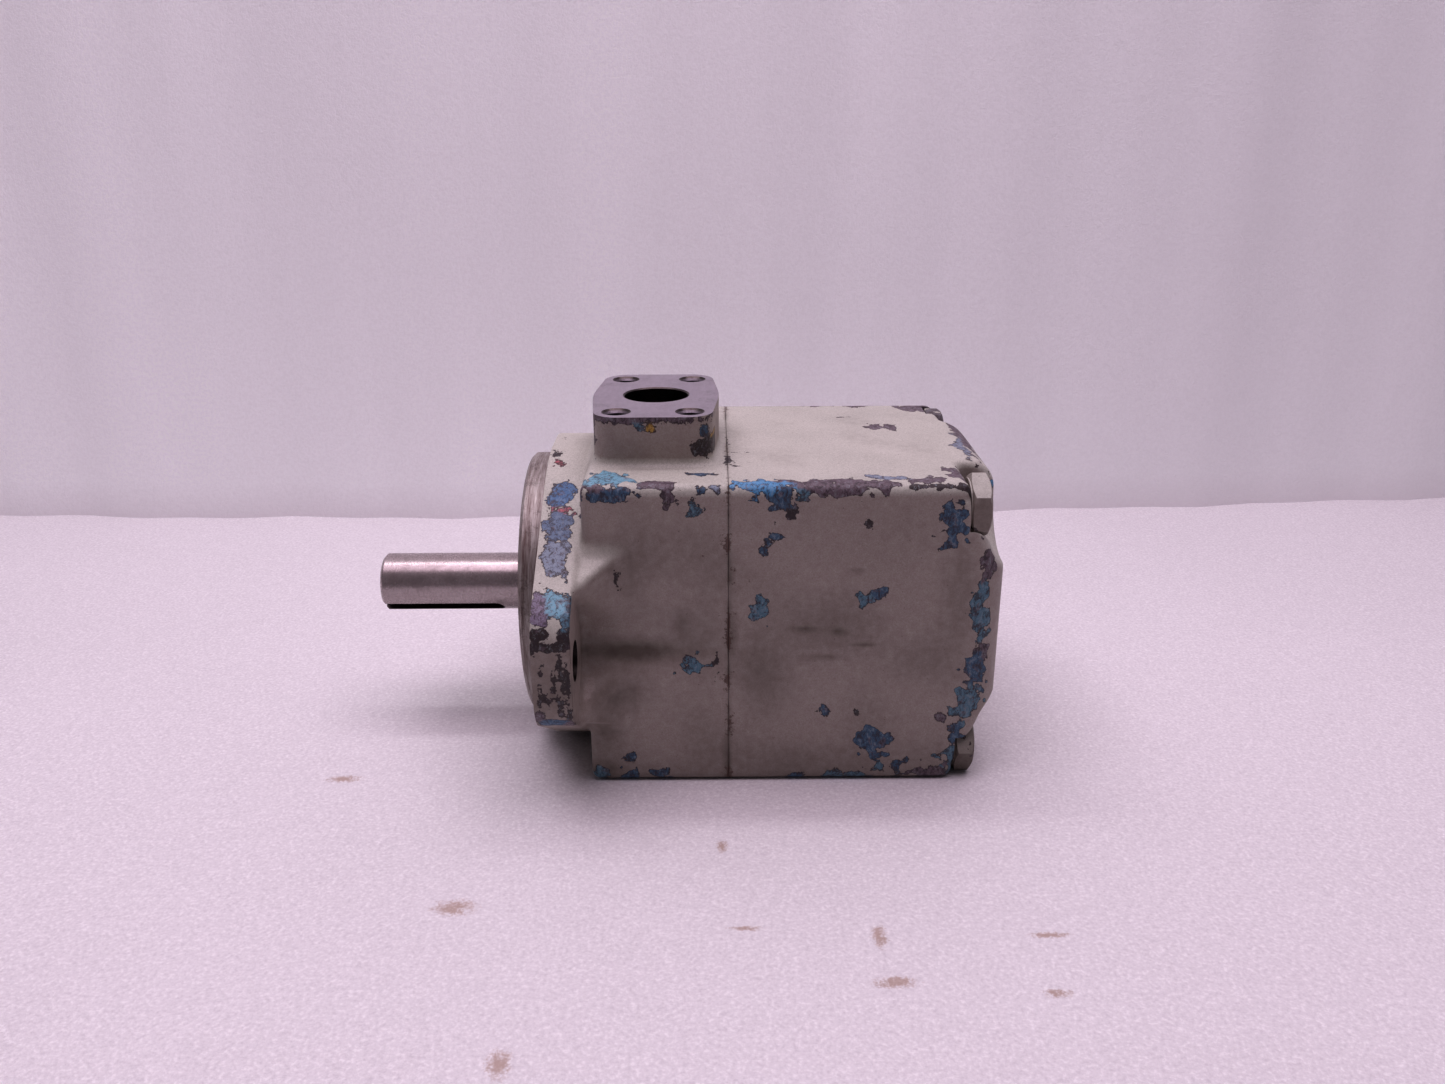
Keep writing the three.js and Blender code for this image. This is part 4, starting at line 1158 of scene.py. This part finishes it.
rotor = extruded(rotor_outline, RING_FROM + 0.1, RING_TO - 0.1, 0.2)
spline_hole = []
for tooth in range(SPLINES):
    for radius, offset in ((11.05, -9), (12.55, -6), (12.55, 6), (11.05, 9)):
        spline_hole.append(polar(radius, 360 / SPLINES * tooth + offset))
boolean(rotor, extruded(spline_hole, RING_FROM - 1, RING_TO + 1), solver="EXACT")
finish(rotor, "vane_rotor", "rotor", ROTATING, "rotor_steel")
vane_outline = [(-VANE_HALF, SLOT_FLOOR + 0.7), (VANE_HALF, SLOT_FLOOR + 0.7),
                *[(VANE_HALF * math.cos(a), 29.4 + 0.7 * math.sin(a))
                  for a in np.radians(np.arange(0, 181, 15))]]
for index in range(VANES):
    vane = extruded(vane_outline, RING_FROM + 0.3, RING_TO - 0.3, 0.15)
    vane.data.transform(about_shaft(360 / VANES * (index + 0.5) - 90))
    finish(vane, f"sliding_vane_{index + 1}", f"vane_{index + 1}", ROTATING, "rotor_steel")
for number, angle in enumerate(SCREW_ANGLES, 1):
    head = PLATE_TO - 4.3
    middle = polar(PIN_CIRCLE, angle)
    profile = [(49, 0), (49, 1.6), (49.6, 2), (head, 2), (head, 3.8), (head + 3.9, 3.8),
               (head + 3.9, 0)]
    screw = turned(profile, 48, 0, (0, *middle), 0.3)
    socket = extruded(arc(1.9, 0, 360, 6, middle)[:-1], head + 2, head + 5)
    boolean(screw, socket, solver="EXACT")
    finish(screw, f"plate_screw_{number}", f"cartridge_screw_{number}", HOUSING, "ring_steel")
for number, angle in enumerate(DOWEL_ANGLES, 1):
    pin = turned([(50, 0), (50, 2.5), (100, 2.5), (100, 0)], 48, 0,
                 (0, *polar(PIN_CIRCLE, angle)), 0.6)
    finish(pin, f"dowel_{number}", f"dowel_pin_{number}", HOUSING, "bearing_steel")
disc = [(104.4, 39.2), (104.4, 40.4), (106.4, 43.5), (107.5, 43.5), (107.5, 42.3), (105.5, 39.2)]
finish(turned(disc, 128, fillet=0.2), "disc_spring", "plate_spring", HOUSING, "ring_steel")
bush = [(144.5, 10.35), (157, 10.35), (157, 14.7), (144.5, 14.7)]
finish(turned(bush, 96, fillet=0.6), "journal_bush", "rear_bush", HOUSING, "plate_bronze")

# ---- drain port's plug and its sealing ring, on the far side
PLUG_FACE = HALF + 1.6 + 2 * GAP
plug = hex_head(10 * math.sqrt(3), PLUG_FACE, PLUG_FACE + 6, (DRAIN_Z, DRAIN_X), 0, 1)
plug_shank = [(DRAIN_FLOOR + 2, 0), (DRAIN_FLOOR + 2, 5.4),
              *threaded(DRAIN_FLOOR + 2.5, PLUG_FACE - 1.5, 6.9, 1.4, 0.5),
              (PLUG_FACE - 0.8, 6.2), (PLUG_FACE + 1, 6.2), (PLUG_FACE + 1, 0)]
boolean(plug, turned(plug_shank, 48, 1, (DRAIN_X, 0, DRAIN_Z)), "UNION")
finish(plug, "hex_plug", "drain_plug", HOUSING, "screw_paint", angle=25)
washer = [(HALF + GAP, 7.3), (HALF + GAP + 1.6, 7.3), (HALF + GAP + 1.6, 9.6), (HALF + GAP, 9.6)]
finish(turned(washer, 64, 1, (DRAIN_X, 0, DRAIN_Z), 0.4), "copper_ring", "drain_seal",
       HOUSING, "seal_copper")

# ================================================================ floor, wall, light and camera
FLOOR = MOUNTS["base"]["pos_m"][2]
TINT = (1.0, 0.82, 0.97)


def stage_material(name, first, second):
    """The start of a stage material: its shader, a clouded colour, and two noises."""
    s = Shader(name)
    cloud, mid, fine = s.noise(0.006, 3), s.noise(0.16, 3, 0.6), s.noise(1.1, 3, 0.7)
    colour = s.mix(s.total((0.5, cloud), (0.25, mid), (0.25, fine)), first, second)
    return s, colour, fine, mid


def floor_material():
    """White foam sheet: a fine pitted grain, soft dents and a few old scuffs."""
    s, colour, fine, mid = stage_material("foam_sheet", (0.86, 0.85, 0.86), (0.70, 0.69, 0.70))
    grain = s.noise(0.8, 3, 0.75)
    colour = s.tinted(colour, (grain, 0.53, 0.66, 0.6, (0.98, 0.98, 0.98)),
                      (grain, 0.48, 0.32, 0.5, (0.60, 0.58, 0.60)))
    along, across, _ = s.split(s.place)
    scuff = 0.0
    for x, y, half_x, half_y in ((132, -98, 4, 8), (139, -141, 11, 2.5), (179, -145, 5, 11),
                                 (230, -145, 13, 3), (-8, -54, 14, 5), (48, -130, 15, 8),
                                 (73, -195, 7, 12), (181, -165, 14, 5), (226, -170, 8, 4)):
        reach = s.length(s.maths("MULTIPLY", s.maths("SUBTRACT", along, x), 1 / half_x),
                         s.maths("MULTIPLY", s.maths("SUBTRACT", across, y), 1 / half_y))
        scuff = s.maths("MAXIMUM", scuff, s.maths("SUBTRACT", 1.4, reach))
    scuff = s.band(s.maths("MULTIPLY", scuff, s.noise(0.55, 5, 0.9)), 0.44, 0.62, 0, 0.75)
    s.put(s.out["Base Color"], s.mix(scuff, colour, (0.42, 0.29, 0.22)))
    s.put(s.out["Roughness"], s.total((0.55, 1.0), (0.2, fine)))
    s.bump(s.total((0.22, fine), (0.5, mid), (0.22, grain)), 0.6)
    return s.material


def wall_material():
    """A pale wall that is only seen, and only casts light back, from its front. It glows faintly as
    painted light, and is painted darker in its folds, towards its right and along its foot as
    painted shade.
    """
    s, colour, fine, mid = stage_material("pale_wall", (0.84, 0.85, 0.86), (0.76, 0.77, 0.78))
    weave = s.noise(0.55, 3, 0.75)
    fold_shade = s.noise(0.011, 3, 0.6, s.scaled(s.place, (1, 1, 0.12)))
    along, _, height = s.split(s.place)
    # Painted shade: the folds darken the wall in soft upright bands, and the wall darkens towards
    # its right.
    colour = s.tinted(colour, (weave, 0.42, 0.62, 0.35, (0.66, 0.66, 0.67)),
                      (fold_shade, 0.42, 0.62, 0.22, (0.62, 0.62, 0.63)),
                      (along, 130, 460, 0.4, (0.50, 0.50, 0.52)))
    # Painted shadow along the wall's foot.
    foot_shadow = s.band(height, FLOOR / MM, FLOOR / MM + 22, 0.5, 0)
    s.put(s.out["Base Color"], s.mix(foot_shadow, colour, (0.52, 0.47, 0.50)))
    s.put(s.out["Roughness"], 0.8)
    # Painted light: the wall glows faintly, which brightens it and lights the motor from behind.
    s.put(s.out["Emission Color"], (1.0, 0.86, 0.99))
    s.put(s.out["Emission Strength"], 0.2)
    s.bump(s.total((0.3, fine), (0.6, weave), (0.4, mid)), 0.6)
    see_through = s.node("ShaderNodeBsdfTransparent")
    either = s.node("ShaderNodeMixShader")
    s.put(either.inputs[0], s.node("ShaderNodeNewGeometry").outputs["Backfacing"])
    s.tree.links.new(s.tree.nodes["Principled BSDF"].outputs[0], either.inputs[1])
    s.tree.links.new(see_through.outputs[0], either.inputs[2])
    s.tree.links.new(either.outputs[0], s.tree.nodes["Material Output"].inputs["Surface"])
    return s.material


def sheet(name, rows, material):
    """A stage surface from rows of points."""
    rows = np.array(rows)
    down, across = rows.shape[:2]
    faces = [[i * across + k, i * across + k + 1, (i + 1) * across + k + 1, (i + 1) * across + k]
             for i in range(down - 1) for k in range(across - 1)]
    mesh = bpy.data.meshes.new(name)
    mesh.from_pydata([tuple(p) for p in rows.reshape(-1, 3)], [], faces)
    piece = linked(name, mesh)
    piece.data.materials.append(material)
    set_smooth(piece.data)


spread = np.linspace(-2.5, 2.5, 401)
sheet("floor", [[(x, y, FLOOR - 0.0002) for x in spread] for y in spread], floor_material())
# The wall stands behind the motor, slightly bowed, with small waves along it.
wall_foot = [0.2425 + 0.084 * (x - MOUNTING_FACE + 0.069) ** 2
             + 0.0016 * math.sin(41 * x) + 0.0012 * math.sin(97 * x + 1) for x in spread]
sheet("wall", [[(x, y, z) for x, y in zip(spread, wall_foot)] for z in (FLOOR - 0.01, 0.6, 1.8)],
      wall_material())


def area_light(name, place, target, size, power, colour=TINT):
    data = bpy.data.lights.new(name, "AREA")
    data.shape, data.size, data.size_y = "RECTANGLE", *size
    data.energy, data.color = power, colour
    lamp = bpy.data.objects.new(name, data)
    lamp.location = place
    lamp.rotation_euler = (Vector(target) - Vector(place)).to_track_quat("-Z", "Y").to_euler()
    bpy.context.scene.collection.objects.link(lamp)


area_light("ceiling", (0.12, -0.03, 1.35), (0.12, 0.0, 0), size=(1.6, 1.3), power=20.4)
area_light("strip", (0.0, 0.16, 0.9), (0.0, 0.0, 0.0), size=(0.9, 0.08), power=1.6,
           colour=(1.0, 0.93, 1.0))

world = bpy.data.worlds.new("room")
world.use_nodes = True
world.node_tree.nodes["Background"].inputs["Color"].default_value = (0.80, 0.68, 0.78, 1)
world.node_tree.nodes["Background"].inputs["Strength"].default_value = 0.11
bpy.context.scene.world = world

# The camera looks at the near side, a little down on the port's face.
LENS, SENSOR = 29.77, 36.0
CAMERA_PLACE = (0.1302, -0.4404, 0.1786)
YAW, DIP, ROLL = math.radians(0.38), math.radians(20.29), math.radians(-0.17)
lens = bpy.data.cameras.new("camera")
lens.sensor_fit, lens.sensor_width, lens.lens = "HORIZONTAL", SENSOR, LENS
lens.clip_start, lens.clip_end = 0.02, 20
camera = bpy.data.objects.new("camera", lens)
forward = Vector((math.sin(YAW) * math.cos(DIP), math.cos(YAW) * math.cos(DIP), -math.sin(DIP)))
right = Vector((math.cos(YAW), -math.sin(YAW), 0))
above = right.cross(forward)
tilted = math.cos(ROLL) * right + math.sin(ROLL) * above
above = -math.sin(ROLL) * right + math.cos(ROLL) * above
camera.matrix_world = Matrix((
    (tilted.x, above.x, -forward.x, CAMERA_PLACE[0]),
    (tilted.y, above.y, -forward.y, CAMERA_PLACE[1]),
    (tilted.z, above.z, -forward.z, CAMERA_PLACE[2]),
    (0, 0, 0, 1)))
bpy.context.scene.collection.objects.link(camera)
bpy.context.scene.camera = camera
bpy.context.scene.view_settings.view_transform = "Standard"
bpy.context.scene.view_settings.gamma = 0.85
